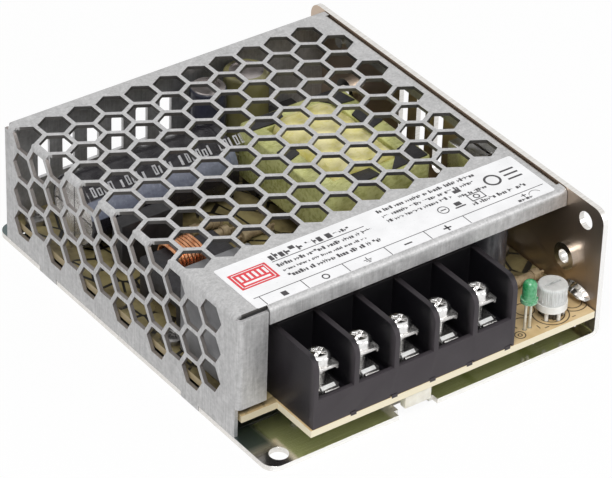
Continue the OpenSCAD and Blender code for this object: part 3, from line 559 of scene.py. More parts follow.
def rolledSheetMaterial():
    material, shader = startMaterial("rolledSheet", sheetLook["basePale"], 0.3, 1.0)
    tree = material.node_tree
    lines = noiseOver(tree, pointInMm(tree, (0.04, 2.5, 2.5)), 0.7, detail=4)
    color = rampOver(tree, lines, [(0.3, sheetLook["baseDark"]), (0.7, sheetLook["basePale"])])
    x, y, _ = placeOver(tree)
    facingX, facingY, facingZ = facingOver(tree)
    # painted shade and reflection: the inside of the right wall made brown, darker towards the front
    wall = allOver(tree, fadeOver(tree, facingX, -0.5, -0.7), fadeOver(tree, x, 39.0, 39.3))
    toFront = fadeOver(tree, y, -41.0, -49.0)
    wallColor = mixOver(tree, toFront, sheetLook["wallShade"], sheetLook["wallFront"])
    color = mixOver(tree, wall, color, wallColor)
    corner = allOver(tree, fadeOver(tree, facingZ, 0.5, 0.8), fadeOver(tree, y, -45.0, -41.5),
                     fadeOver(tree, x, -35.0, -36.5))
    color = mixOver(tree, corner, color, sheetLook["cornerShade"])
    # painted highlight: front-facing cut faces near the front painted near white and less metallic
    frontCutHighlight = allOver(tree, fadeOver(tree, mathOver(tree, "ABSOLUTE", facingY), 0.5, 0.8),
                       fadeOver(tree, y, -45.5, -46.0))
    color = mixOver(tree, frontCutHighlight, color, sheetLook["baseCutHighlight"])
    tree.links.new(color, shader.inputs["Base Color"])
    tree.links.new(mathOver(tree, "SUBTRACT", 1.0, mathOver(tree, "MULTIPLY", frontCutHighlight, 0.6)),
                   shader.inputs["Metallic"])
    rough = spreadOver(tree, lines, 0.12, 0.20)
    rough = mathOver(tree, "MULTIPLY_ADD", wall, 0.22, rough)
    rough = mathOver(tree, "MULTIPLY_ADD", corner, 0.25, rough)
    tree.links.new(rough, shader.inputs["Roughness"])
    addBump(tree, shader, lines, 0.002)
    return material


tabLook = {
    "y": -43.5,              # mm, middle of the lanced tab
    "foot": 6.85,
    "tall": 4.2,
    "halfWide": 4.3,
    "lift": 1.15,
    "wallSquash": 0.42,
    "tipSquash": 0.6,
    "tipSpread": 2.1,
}


def flattenTab(work):
    # turns the lanced tab into a shallow half-moon over the board's edge
    foot, middle = tabLook["foot"], tabLook["y"]
    for vert in work.verts:
        x, y, z = vert.co / mm
        beside = 37 < x < 39.9 and abs(y - middle) < tabLook["halfWide"]
        if beside and foot - 0.1 < z < foot + tabLook["tall"]:
            tip = x < 38.5
            squash = tabLook["tipSquash"] if tip else tabLook["wallSquash"]
            vert.co.z = (foot + tabLook["lift"] + (z - foot) * squash) * mm
            if tip:
                vert.co.y = (middle + (y - middle) * tabLook["tipSpread"]) * mm


coverMaterial = galvanisedMaterial()
baseMaterial = rolledSheetMaterial()
softenedCopy("cover", "coverShell", coverMaterial, sheetLook["coverEdge"], segments=1, smooth=20)
softenedCopy("chassis", "baseSheet", baseMaterial, 0.10, segments=1, reshape=flattenTab, smooth=20)
print("case sheets done")


# terminal block and screws

blockLook = {
    # the moulding in painted shade for the pockets, then the same moulding painted lit for the front face
    "deep": (0.0055, 0.005, 0.0065),
    "front": (0.058, 0.050, 0.056),
    "edge": 0.22,            # mm
    "contactX": (-25.65, -15.95, -6.25, 3.45, 13.15),
    "tabWidth": 3.3,
    "tabSide": ((-48.05, 12.5), (-46.3, 13.45), (-46.1, 12.6), (-47.9, 12.3)),   # y and z
    "feetX": (-21.3, -11.3, -1.9, 7.3, 16.9),
}


def blockMaterial():
    material, shader = startMaterial("blackMoulding", blockLook["deep"], 0.34)
    shader.inputs["Specular IOR Level"].default_value = 0.22
    tree = material.node_tree
    x, y, z = placeOver(tree)
    grain = noiseOver(tree, pointInMm(tree), 3.0, detail=4)
    # painted light and shade: the front face lit, the left end and barrier tops partly lit, the pockets left
    # in painted shade
    front = fadeOver(tree, y, -47.4, -48.9)
    end = fadeOver(tree, x, -30.8, -31.0)
    top = fadeOver(tree, z, 22.6, 23.0)
    for part, share in ((end, 0.35), (top, 0.5)):
        front = mathOver(tree, "MAXIMUM", front, mathOver(tree, "MULTIPLY", part, share))
    shade = allOver(tree, front, spreadOver(tree, grain, 0.75, 1.0))
    tree.links.new(mixOver(tree, shade, blockLook["deep"], blockLook["front"]), shader.inputs["Base Color"])
    fine = noiseOver(tree, pointInMm(tree), 0.35, detail=3)
    tree.links.new(spreadOver(tree, fine, 0.28, 0.5), shader.inputs["Roughness"])
    addBump(tree, shader, grain, 0.03)
    return material


def blockFeet():
    # small feet of the moulding over the edge of the board
    work = bmesh.new()
    for x in blockLook["feetX"]:
        boxInto(work, (x - 0.7, -49.48, 6.15), (x + 0.7, -49.3, 7.0))
    extraPiece("blockFeet", work, bpy.data.materials["blackMoulding"])


def contactTabs():
    # the flat bright end of each contact, in front of its clamp, its metal painted near white and hardly
    # metallic as a painted reflection
    work = bmesh.new()
    half = blockLook["tabWidth"] / 2
    for x in blockLook["contactX"]:
        ends = [[(x + side * half, y, z) for y, z in blockLook["tabSide"]] for side in (-1, 1)]
        blockBetween(work, *ends)
    roundEdges(work, 0.08)
    tabMaterial = mottledMaterial("contactFaceSheen", (0.80, 0.80, 0.79), (0.95, 0.95, 0.94), 0.5, 0.42,
                                  metallic=0.15, bumpDepth=0.02)
    extraPiece("contactTabs", work, tabMaterial)


tinMaterial = mottledMaterial("tinnedMetal", (0.62, 0.60, 0.58), (0.90, 0.89, 0.87), 0.7, 0.24,
                              metallic=0.95, bumpDepth=0.03)
platedMaterial = mottledMaterial("platedSteel", (0.76, 0.75, 0.74), (0.95, 0.94, 0.93), 0.6, 0.17,
                                 metallic=1.0, bumpDepth=0.012)
softenedCopy("terminal_block", "terminalHousing", blockMaterial(), blockLook["edge"], segments=3)
softenedCopy("terminal_contacts", "terminalContacts", tinMaterial, 0.12)
contactTabs()
blockFeet()
softenedCopy("cover_screws", "coverScrews", platedMaterial, 0.08)
dullMaterial = mottledMaterial("dullScrews", (0.30, 0.29, 0.28), (0.46, 0.45, 0.44), 0.8, 0.35,
                               metallic=1.0)
softenedCopy("board_screws", "boardScrews", dullMaterial, 0.1)
dressNode("board_standoffs", platedMaterial)

threadLook = {
    "pitch": 0.5,            # mm
    "rootRadius": 1.22,
    "crestRadius": 1.5,
    "perTurn": 24,           # steps of the ridge
    "headHeight": 2.0,
    "headEdge": 0.07,
}


def threadedScrew(number):
    # head from the solid, shank turned down to its root, with one helical ridge round it
    node = "terminal_screw_%d" % number
    low, high = nodeBox(node)
    centerX, centerY = (low.x + high.x) / 2, (low.y + high.y) / 2
    root, perTurn = threadLook["rootRadius"], threadLook["perTurn"]
    shoulder = high.z - threadLook["headHeight"] * mm
    work = cleanCopy(node)
    head = [e for e in work.edges if len(e.link_faces) == 2 and e.calc_face_angle(0) > math.radians(40)
            and min(v.co.z for v in e.verts) > shoulder + 0.3 * mm]
    roundEdges(work, threadLook["headEdge"], head)
    for vert in work.verts:
        if vert.co.z < shoulder - 0.01 * mm:
            flat = Vector((vert.co.x - centerX, vert.co.y - centerY))
            if flat.length > root * mm:
                flat = flat.normalized() * root * mm
                vert.co.x = centerX + flat.x
                vert.co.y = centerY + flat.y
    length = shoulder - low.z - 0.2 * mm
    steps = int(length / (threadLook["pitch"] * mm) * perTurn)
    rows = []
    for k in range(steps + 1):
        angle = 2 * math.pi * k / perTurn
        height = low.z + 0.1 * mm + length * k / steps
        fade = min(1, k / 12, (steps - k) / 12)
        crest = root + (threadLook["crestRadius"] - root) * fade
        row = []
        for radius, lift in ((root - 0.05, -0.2), (crest, 0.0), (root - 0.05, 0.2)):
            row.append(work.verts.new((centerX + radius * mm * math.cos(angle),
                                       centerY + radius * mm * math.sin(angle),
                                       height + lift * mm)))
        rows.append(row)
    for row, after in zip(rows, rows[1:]):
        for side in range(3):
            nextSide = (side + 1) % 3
            work.faces.new((row[side], row[nextSide], after[nextSide], after[side]))
    work.faces.new(list(reversed(rows[0])))
    work.faces.new(rows[-1])
    piece = bmeshToPiece("terminalScrew%d" % number, work, platedMaterial, bodyOf(node), smooth=35)
    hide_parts(node)


for number in range(1, 6):
    threadedScrew(number)
    softenedCopy("clamp_plate_%d" % number, "clampPlate%d" % number, tinMaterial, 0.12)
print("terminals done")


# board

boardLook = {
    "top": (0.60, 0.42, 0.20),
    "topPale": (0.76, 0.58, 0.33),
    # the board painted in shade inside the case
    "inner": (0.13, 0.10, 0.045),
    "innerPale": (0.36, 0.30, 0.14),
    "ink": (0.012, 0.010, 0.008),
    "edge": (0.88, 0.80, 0.60),
    # the board's edge painted in shade inside the case
    "edgeInner": (0.42, 0.34, 0.20),
    # the hatched mask under the board, painted far lighter than it is as painted light, so its reflection in
    # the plate shows
    "mask": (0.36, 0.42, 0.13),
    "maskPale": (0.74, 0.78, 0.42),
    "hatchPitch": 0.62,      # mm
    "inkWidth": 0.26,
    # x, y, radius and arc of the printed rings
    "inkRings": ((21.8, -47.4, 1.25, 0, 360), (21.8, -47.4, 0.55, 0, 360), (24.6, -44.6, 2.1, 20, 200),
                 (31.5, -45.1, 3.95, 150, 395), (31.5, -45.1, 3.0, 190, 350), (37.6, -44.2, 3.4, 215, 320),
                 (37.6, -44.2, 2.3, 205, 330), (28.0, -41.0, 2.2, 0, 360)),
    # x, y and sides of the printed ticks
    "inkTicks": ((28.0, -48.3, 1.1, 0.25), (26.6, -47.3, 0.25, 1.2), (34.9, -48.4, 0.9, 0.22),
                 (19.6, -44.8, 0.22, 1.8), (19.7, -41.2, 1.2, 0.22)),
    "solderSpots": ((39.0, -47.8), (24.4, -48.3), (35.2, -48.4)),
}


def boardMaterial():
    material, shader = startMaterial("boardLaminate", boardLook["top"], 0.4)
    tree = material.node_tree
    point = pointInMm(tree)
    x, y, _ = placeOver(tree)
    facingZ = facingOver(tree)[2]
    # painted shade: the board darker inside the case, under the cover
    under = fadeOver(tree, y, -39.0, -34.5)      # darker inside the case
    grain = noiseOver(tree, point, 5.0, detail=5)
    topColor = mixOver(tree, under,
                       rampOver(tree, grain, [(0.3, boardLook["top"]), (0.7, boardLook["topPale"])]),
                       rampOver(tree, grain, [(0.35, boardLook["inner"]), (0.65, boardLook["innerPale"])]))
    lines = cellsOver(tree, pointInMm(tree, (1, 0.7, 1)), 4.2, feature="DISTANCE_TO_EDGE",
                      output="Distance")
    ink = allOver(tree, under, fadeOver(tree, lines, 0.07, 0.05), fadeOver(tree, grain, 0.42, 0.5))
    topColor = mixOver(tree, ink, topColor, boardLook["ink"])
    # painted light: the hatch under the board made far lighter, to brighten its reflection in the plate
    hatch = mathOver(tree, "SINE", mathOver(tree, "MULTIPLY", x, 2 * math.pi / boardLook["hatchPitch"]))
    tracks = noiseOver(tree, pointInMm(tree, (1, 0.2, 1)), 3.0, detail=2)
    hatched = allOver(tree, fadeOver(tree, hatch, -0.6, 0.4), fadeOver(tree, tracks, 0.3, 0.4))
    underColor = mixOver(tree, hatched, boardLook["mask"], boardLook["maskPale"])
    # painted shade: the board's edge darker inside the case
    sideColor = mixOver(tree, fadeOver(tree, y, -38.6, -37.6), boardLook["edge"], boardLook["edgeInner"])
    color = mixOver(tree, fadeOver(tree, facingZ, 0.4, 0.6), sideColor, topColor)
    color = mixOver(tree, fadeOver(tree, facingZ, -0.4, -0.6), color, underColor)
    tree.links.new(color, shader.inputs["Base Color"])
    tree.links.new(spreadOver(tree, grain, 0.32, 0.5), shader.inputs["Roughness"])
    addBump(tree, shader, grain, 0.01)
    return material


def boardInk():
    # component rings and outlines on the front of the board
    inkMaterial = mottledMaterial("boardInk", (0.05, 0.035, 0.02), (0.12, 0.085, 0.05), 1.0, 0.5,
                                  bumpDepth=0.002)
    quads = []
    for x, y, radius, start, end in boardLook["inkRings"]:
        quads += ringQuads(x, y, radius, boardLook["inkWidth"], start, end)
    for x, y, wide, deep in boardLook["inkTicks"]:
        quads += barQuad(x - wide / 2, y - deep / 2, x + wide / 2, y + deep / 2)
    printPiece("boardInk", quads, 6.515, inkMaterial)


def solderTails():
    work = bmesh.new()
    for x, y in boardLook["solderSpots"]:
        for wide, low in ((0.28, 4.4), (0.21, 3.9)):
            boxInto(work, (x - wide, y - 0.28, low), (x + wide, y + 0.28, 4.88))
    extraPiece("solderTails", work, tinMaterial)


dressNode("circuit_board", boardMaterial())
boardInk()
solderTails()
nylonMaterial = mottledMaterial("naturalNylon", (0.78, 0.74, 0.64), (0.90, 0.88, 0.80), 2.0, 0.5,
                                more={"Subsurface Weight": 0.2,
                                      "Subsurface Radius": (0.002, 0.002, 0.0015)})


def spacerLip():
    # the front of the spacer closes the notch of the plate
    low, high = nodeBox("edge_spacer")
    work = bmesh.new()
    boxInto(work, (low.x / mm + 0.5, -49.35, 1.9), (high.x / mm - 0.4, low.y / mm + 0.1, 4.86))
    roundEdges(work, 0.25)
    extraPiece("spacerLip", work, nylonMaterial)


softenedCopy("edge_spacer", "edgeSpacer", nylonMaterial, 0.3)
spacerLip()
filmMaterial = mottledMaterial("darkFilm", (0.02, 0.022, 0.02), (0.035, 0.038, 0.034), 6.0, 0.35)
dressNode("insulating_sheet", filmMaterial)
print("board done")


# lamp and adjuster

lampLook = {
    "deep": (0.03, 0.34, 0.11),
    "pale": (0.16, 0.60, 0.30),
    "foot": (0.32, 0.66, 0.42),
    "ribs": 44,
    "knobCenter": (31.5, -45.1),
    "darkRingRadius": 2.05,     # mm
    "darkBlockTurns": (0, 75, 140, 250, 305),
}


def lampMaterial():
    material, shader = startMaterial("greenLens", lampLook["deep"], 0.1)
    shader.inputs["Transmission Weight"].default_value = 0.25
    shader.inputs["IOR"].default_value = 1.5
    shader.inputs["Coat Weight"].default_value = 0.6
    shader.inputs["Subsurface Weight"].default_value = 0.4
    shader.inputs["Subsurface Radius"].default_value = (0.0008, 0.003, 0.0012)
    tree = material.node_tree
    z = placeOver(tree)[2]
    cloud = noiseOver(tree, pointInMm(tree), 0.9)
    color = rampOver(tree, cloud, [(0.3, lampLook["deep"]), (0.7, lampLook["pale"])])
    base = fadeOver(tree, z, 15.4, 14.2)
    color = mixOver(tree, allOver(tree, base, fadeOver(tree, cloud, 0.4, 0.6)), color, lampLook["foot"])
    tree.links.new(color, shader.inputs["Base Color"])
    return material


def knobMaterial():
    material, shader = startMaterial("clearKnob", (0.62, 0.63, 0.62), 0.26)
    shader.inputs["Transmission Weight"].default_value = 0.2
    shader.inputs["IOR"].default_value = 1.46
    shader.inputs["Subsurface Weight"].default_value = 0.5
    shader.inputs["Subsurface Radius"].default_value = (0.003, 0.003, 0.003)
    tree = material.node_tree
    x, y, _ = placeOver(tree)
    facingZ = facingOver(tree)[2]
    cloud = noiseOver(tree, pointInMm(tree), 1.3)
    side = rampOver(tree, cloud, [(0.3, (0.74, 0.75, 0.74)), (0.7, (0.88, 0.89, 0.88))])
    top = rampOver(tree, cloud, [(0.3, (0.76, 0.76, 0.74)), (0.7, (0.88, 0.88, 0.86))])
    tree.links.new(mixOver(tree, fadeOver(tree, facingZ, 0.6, 0.8), side, top), shader.inputs["Base Color"])
    centerX, centerY = lampLook["knobCenter"]
    turn = mathOver(tree, "ARCTAN2", awayFrom(tree, y, centerY), awayFrom(tree, x, centerX))
    ribs = mathOver(tree, "SINE", mathOver(tree, "MULTIPLY", turn, lampLook["ribs"]))
    addBump(tree, shader, ribs, 0.022)
    return material


whiteMaterial = mottledMaterial("whiteMoulding", (0.80, 0.79, 0.75), (0.93, 0.92, 0.89), 2.0, 0.4,
                                more={"Subsurface Weight": 0.2, "Subsurface Radius": (0.002, 0.002, 0.002)})
leadMaterial = mottledMaterial("paleLeads", (0.66, 0.64, 0.54), (0.86, 0.84, 0.74), 1.0, 0.3, metallic=0.4)
dressNode("power_lamp", lampMaterial())
dressNode("lamp_leads", leadMaterial)
softenedCopy("trimmer_knob", "adjusterKnob", knobMaterial(), 0.16, segments=3)
dressNode("trimmer_base", whiteMaterial)


def adjusterInside():
    # a dark ring with small dark blocks round it, under the white ring
    x, y = lampLook["knobCenter"]
    wide = lampLook["darkRingRadius"]
    work = lathe([(wide - 0.15, 6.52), (wide, 6.7), (wide, 8.2), (wide - 0.55, 8.6)], (x, y, 0))
    for turn in lampLook["darkBlockTurns"]:
        spotX = x + (wide + 0.05) * math.cos(math.radians(turn))
        spotY = y + (wide + 0.05) * math.sin(math.radians(turn))
        boxInto(work, (spotX - 0.28, spotY - 0.28, 6.52), (spotX + 0.28, spotY + 0.28, 8.9))
    darkMaterial = mottledMaterial("adjusterDark", (0.02, 0.017, 0.014), (0.10, 0.08, 0.06), 0.5, 0.35)
    extraPiece("adjusterInside", work, darkMaterial)


adjusterInside()
print("lamp and adjuster done")


# inner parts

innerLook = {
    "sleeve": (0.016, 0.014, 0.018),
    "stripe": (0.17, 0.185, 0.25),
    "canTop": (0.50, 0.46, 0.45),
    "canAxis": (29.0, 14.5),       # y and z of the bulk capacitor
    "canRadius": 8.0,
    "printSpan": (-33.5, -1.5),    # mm
    "printTurn": 43,               # degrees from upright
    "printBar": 0.32,
    # x, y and height of the can tops
    "outputTops": ((24.5, -30.6, 24.5), (24.5, -19.6, 24.5), (12.6, -27.4, 24.5)),
    "rearTops": ((15.0, 38.7, 26.5), (5.6, 39.3, 25.5)),
    "tapeBright": (0.96, 0.88, 0.46),
    "tapeShade": (0.84, 0.76, 0.24),
    "wrapPale": (0.66, 0.67, 0.28),
    "wrapDark": (0.44, 0.45, 0.15),
    "wireRadius": 0.36,
    "wireSteps": 28,               # per turn
    "legHalf": 4.1,
    "legHeight": 13.0,
    "crownRadius": 4.0,
    "crownRows": 46,
    # corners of the places where the core shows, x and y
    "tapeGaps": (((26.2, 9.6), (30.6, 11.0), (30.3, 18.6), (26.4, 16.4)),
                 ((20.6, -5.2), (30.4, -4.6), (30.2, 1.8), (26.3, 0.6)),
                 ((11.2, -5.4), (17.8, -5.2), (17.2, -2.0), (12.4, -1.8)),
                 ((5.0, 22.8), (13.6, 22.4), (14.6, 26.2), (7.4, 26.6)),
                 ((4.6, 9.0), (8.6, 10.4), (8.7, 14.6), (4.7, 13.2)),
                 ((26.2, 21.2), (30.4, 20.6), (29.4, 26.4), (22.0, 26.5))),
}


def bulkMaterial():
    material, shader = startMaterial("printedSleeve", innerLook["sleeve"], 0.2)
    tree = material.node_tree
    x, y, z = placeOver(tree)
    axisY, axisZ = innerLook["canAxis"]
    tilt = mathOver(tree, "ARCTAN2", awayFrom(tree, axisY, y), awayFrom(tree, z, axisZ))
    stripe = allOver(tree, fadeOver(tree, tilt, 0.80, 0.84), fadeOver(tree, tilt, 1.36, 1.32))
    grain = noiseOver(tree, pointInMm(tree), 1.0, detail=4)
    paleStripe = mixOver(tree, fadeOver(tree, grain, 0.3, 0.7), innerLook["stripe"], (0.24, 0.26, 0.33))
    color = mixOver(tree, stripe, innerLook["sleeve"], paleStripe)
    end = fadeOver(tree, x, -34.3, -34.5)
    metal = allOver(tree, end, fadeOver(tree, reachOver(tree, y, axisY, z, axisZ), 7.2, 7.0))
    score = mathOver(tree, "MINIMUM", mathOver(tree, "ABSOLUTE", awayFrom(tree, y, axisY)),
                     mathOver(tree, "ABSOLUTE", awayFrom(tree, z, axisZ)))
    endColor = mixOver(tree, fadeOver(tree, score, 0.25, 0.1), (0.74, 0.72, 0.70), (0.16, 0.15, 0.15))
    tree.links.new(mixOver(tree, metal, color, endColor), shader.inputs["Base Color"])
    tree.links.new(mathOver(tree, "MULTIPLY", metal, 0.8), shader.inputs["Metallic"])
    tree.links.new(spreadOver(tree, grain, 0.16, 0.34), shader.inputs["Roughness"])
    addBump(tree, shader, noiseOver(tree, pointInMm(tree), 1.6, detail=3), 0.12)
    return material


def bulkPrint():
    # rows of plain blocks where the sleeve carries its print
    picker = random.Random(8)
    axisY, axisZ = innerLook["canAxis"]
    radius = innerLook["canRadius"] + 0.11

    def ontoSleeve(x, y):
        return (x, axisY - radius * math.sin(y), axisZ + radius * math.cos(y))

    quads = []
    x, printEnd = innerLook["printSpan"]
    low = math.radians(innerLook["printTurn"])
    bar = innerLook["printBar"]
    while x < printEnd:
        for k in range(picker.randint(4, 6)):
            wide = picker.uniform(0.8, 1.15)
            high = math.radians(innerLook["printTurn"] - picker.choice((12, 16, 16)))
            if picker.random() < 0.6:
                rim = (high - low) * 0.16
                quads += barQuad(x, low, x + bar, high) + barQuad(x + wide - bar, low, x + wide, high)
                quads += barQuad(x, low, x + wide, low + rim)
                quads += barQuad(x, high - rim, x + wide, high)
            else:
                quads += barQuad(x, low, x + wide * 0.55, high)
            x += wide + 0.42
        x += 1.3
    ink = mottledMaterial("sleeveInk", (0.42, 0.42, 0.44), (0.62, 0.62, 0.64), 1.0, 0.4)
    printPiece("bulkPrint", quads, 0, ink, lift=ontoSleeve)


def canMaterial(name, sleeves, splitX, tops):
    # two sleeves side by side, with bare metal tops
    material, shader = startMaterial(name, sleeves[0], 0.24)
    tree = material.node_tree
    x, y, z = placeOver(tree)
    grain = noiseOver(tree, pointInMm(tree), 2.5, detail=3)
    color = mixOver(tree, fadeOver(tree, x, splitX - 0.1, splitX + 0.1), sleeves[0], sleeves[1])
    color = mixOver(tree, mathOver(tree, "MULTIPLY", grain, 0.16), color, (0.55, 0.55, 0.60))
    metal = None
    for centerX, centerY, height in tops:
        out = reachOver(tree, x, centerX, y, centerY)
        top = allOver(tree, fadeOver(tree, out, 3.75, 3.65), fadeOver(tree, z, height - 0.6, height - 0.5))
        metal = mathOver(tree, "MAXIMUM", metal, top) if metal else top
    topColor = rampOver(tree, grain, [(0.35, (0.36, 0.32, 0.31)), (0.65, innerLook["canTop"])])
    tree.links.new(mixOver(tree, metal, color, topColor), shader.inputs["Base Color"])
    tree.links.new(mathOver(tree, "MULTIPLY", metal, 0.7), shader.inputs["Metallic"])
    addBump(tree, shader, grain, 0.05)
    return material


def tapeMaterial(name, shade, bright, crinkle, rough):
    material, shader = startMaterial(name, bright, rough)
    tree = material.node_tree
    folds = noiseOver(tree, pointInMm(tree, (1, 0.6, 1)), 3.4, detail=4, rough=0.65)
    fine = noiseOver(tree, pointInMm(tree, (0.5, 1, 1)), 0.9, detail=3)
    value = mathOver(tree, "MULTIPLY_ADD", fine, 0.3, mathOver(tree, "MULTIPLY", folds, 0.7))
    tree.links.new(rampOver(tree, value, [(0.38, shade), (0.56, bright)]), shader.inputs["Base Color"])
    tree.links.new(spreadOver(tree, fine, rough - 0.08, rough + 0.12), shader.inputs["Roughness"])
    addBump(tree, shader, value, crinkle)
    return material


def windingCrown():
    # the taped winding, crowned and crinkled over the top of the core
    low, high = (corner / mm for corner in nodeBox("transformer_winding"))
    half = (high.x - low.x) / 2
    middle = (high.x + low.x) / 2
    bend, steps = innerLook["crownRadius"], innerLook["crownRows"]
    flat = half - bend

    def bendPoint(side, turn):
        return (side * flat + bend * math.cos(turn), high.z - bend + bend * math.sin(turn))

    outline = [(-half, low.z)]
    outline += [bendPoint(-1, math.pi - math.pi / 2 * k / 12) for k in range(13)]
    outline += [(flat * (k / 5 - 1), high.z) for k in range(1, 10)]
    outline += [bendPoint(1, math.pi / 2 - math.pi / 2 * k / 12) for k in range(13)]
    outline.append((half, low.z))
    work = bmesh.new()
    rows = []
    for k in range(steps + 1):
        y = low.y + (high.y - low.y) * k / steps
        endFade = min(1, min(k, steps - k) / 3)
        row = []
        for x, z in outline:
            push = noise.noise(Vector((x * 0.35, y * 0.28, z * 0.35))) + 0.6 * abs(
                noise.noise(Vector((x * 0.8 + 7, y * 0.5, z * 0.8))))
            inward = 0.18 + 0.55 * max(0, 0.5 + 0.5 * push) + 0.5 * (1 - endFade)
            side = 1 if x > 0 else -1
            row.append(work.verts.new(((middle + x - side * inward * min(1, abs(x) / half)) * mm, y * mm,
                                       (z - inward * (z > high.z - bend)) * mm)))
        rows.append(row)
    for row, after in zip(rows, rows[1:]):
        for k in range(len(row) - 1):
            work.faces.new((row[k], row[k + 1], after[k + 1], after[k]))
        work.faces.new((row[-1], row[0], after[0], after[-1]))
    work.faces.new(rows[0])
    work.faces.new(list(reversed(rows[-1])))
    tape = tapeMaterial("yellowTape", innerLook["tapeShade"], innerLook["tapeBright"], 0.5, 0.2)
    piece = bmeshToPiece("windingCrown", work, tape, smooth=40)
    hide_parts("transformer_winding")


def bareFerrite():
    # places where the black core and bobbin show through gaps of the tape
    work = bmesh.new()
    for gap in innerLook["tapeGaps"]:
        blockBetween(work, *([(x, y, z) for x, y in gap] for z in (22.9, 23.35)))
    roundEdges(work, 0.12)
    extraPiece("bareFerrite", work, ferriteMaterial)


def woundLegs():
    # copper wire wound on the two legs of the filter core
    low, high = (corner / mm for corner in nodeBox("filter_windings"))
    wire, steps, legHalf = (innerLook[key] for key in ("wireRadius", "wireSteps", "legHalf"))
    half = legHalf - wire
    turns = int((high.x - low.x - 2 * wire) / (2 * wire + 0.05))
    work = bmesh.new()
    for middleY in (low.y + legHalf, high.y - legHalf):
        path = []
        for k in range(turns * steps + 1):
            turn = 2 * math.pi * k / steps
            c, n = math.cos(turn), math.sin(turn)
            path.append(Vector((low.x + wire + (high.x - low.x - 2 * wire) * k / (turns * steps),
                                middleY + half * math.copysign(abs(c) ** 0.6, c),
                                innerLook["legHeight"] + half * math.copysign(abs(n) ** 0.6, n))))
        tube = tubeAlong(path, wire, sides=8)
        held = bpy.data.meshes.new("held")
        tube.to_mesh(held)
        tube.free()
        work.from_mesh(held)
        bpy.data.meshes.remove(held)
    piece = bmeshToPiece("woundLegs", work, copperMaterial, smooth=40)
    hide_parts("filter_windings")


ferriteMaterial = mottledMaterial("darkFerrite", (0.010, 0.009, 0.011), (0.030, 0.028, 0.032), 1.2, 0.5,
                                  bumpDepth=0.04)
copperMaterial = mottledMaterial("enamelledCopper", (0.62, 0.24, 0.10), (0.95, 0.52, 0.30), 1.5, 0.24,
                                 metallic=0.85)
mouldMaterial = mottledMaterial("mouldedPackage", (0.012, 0.011, 0.012), (0.03, 0.028, 0.03), 2.0, 0.45)
greyBoxMaterial = mottledMaterial("greyBox", (0.17, 0.17, 0.175), (0.26, 0.26, 0.27), 4.0, 0.4)
dressNode("bulk_capacitor", bulkMaterial())
bulkPrint()
dressNode("output_capacitors", canMaterial("blackCans", (innerLook["sleeve"], innerLook["sleeve"]), 18.0,
                                           innerLook["outputTops"]))
dressNode("rear_capacitors", canMaterial("rearCans", ((0.008, 0.012, 0.035), (0.20, 0.18, 0.05)), 9.8,
                                         innerLook["rearTops"]))
softenedCopy("line_capacitor", "lineCapacitor", greyBoxMaterial, 0.5)
softenedCopy("filter_core", "filterCore", ferriteMaterial, 0.4)
woundLegs()
dressNode("output_choke", copperMaterial)
softenedCopy("transformer_core", "transformerCore",
             tapeMaterial("coreWrap", innerLook["wrapDark"], innerLook["wrapPale"], 0.12, 0.26), 0.4)
bareFerrite()
softenedCopy("transformer_bobbin", "transformerBobbin", mouldMaterial, 0.3)
windingCrown()
for node, pieceName, material, width in (("bridge_rectifier", "bridgeRectifier", mouldMaterial, 0.25),
                                         ("power_transistor", "powerTransistor", mouldMaterial, 0.1),
                                         ("output_rectifier", "outputRectifier", mouldMaterial, 0.1),
                                         ("rectifier_clip", "rectifierClip", platedMaterial, 0.1)):
    softenedCopy(node, pieceName, material, width)
for node, name, dark, pale, spread, rough in (
        ("disc_capacitor", "blueCoating", (0.01, 0.16, 0.50), (0.03, 0.30, 0.72), 1.5, 0.22),
        ("surge_limiter", "greenCoating", (0.03, 0.08, 0.04), (0.06, 0.14, 0.07), 1.5, 0.4),
        ("fuse", "paleCeramic", (0.60, 0.58, 0.50), (0.78, 0.76, 0.68), 1.5, 0.35),
        ("resistors", "filmCoating", (0.26, 0.19, 0.11), (0.46, 0.36, 0.22), 1.0, 0.35)):
    dressNode(node, mottledMaterial(name, dark, pale, spread, rough))
dressNode("optocoupler", whiteMaterial)
dressNode("control_chip", mouldMaterial)
print("inner parts done")


# label

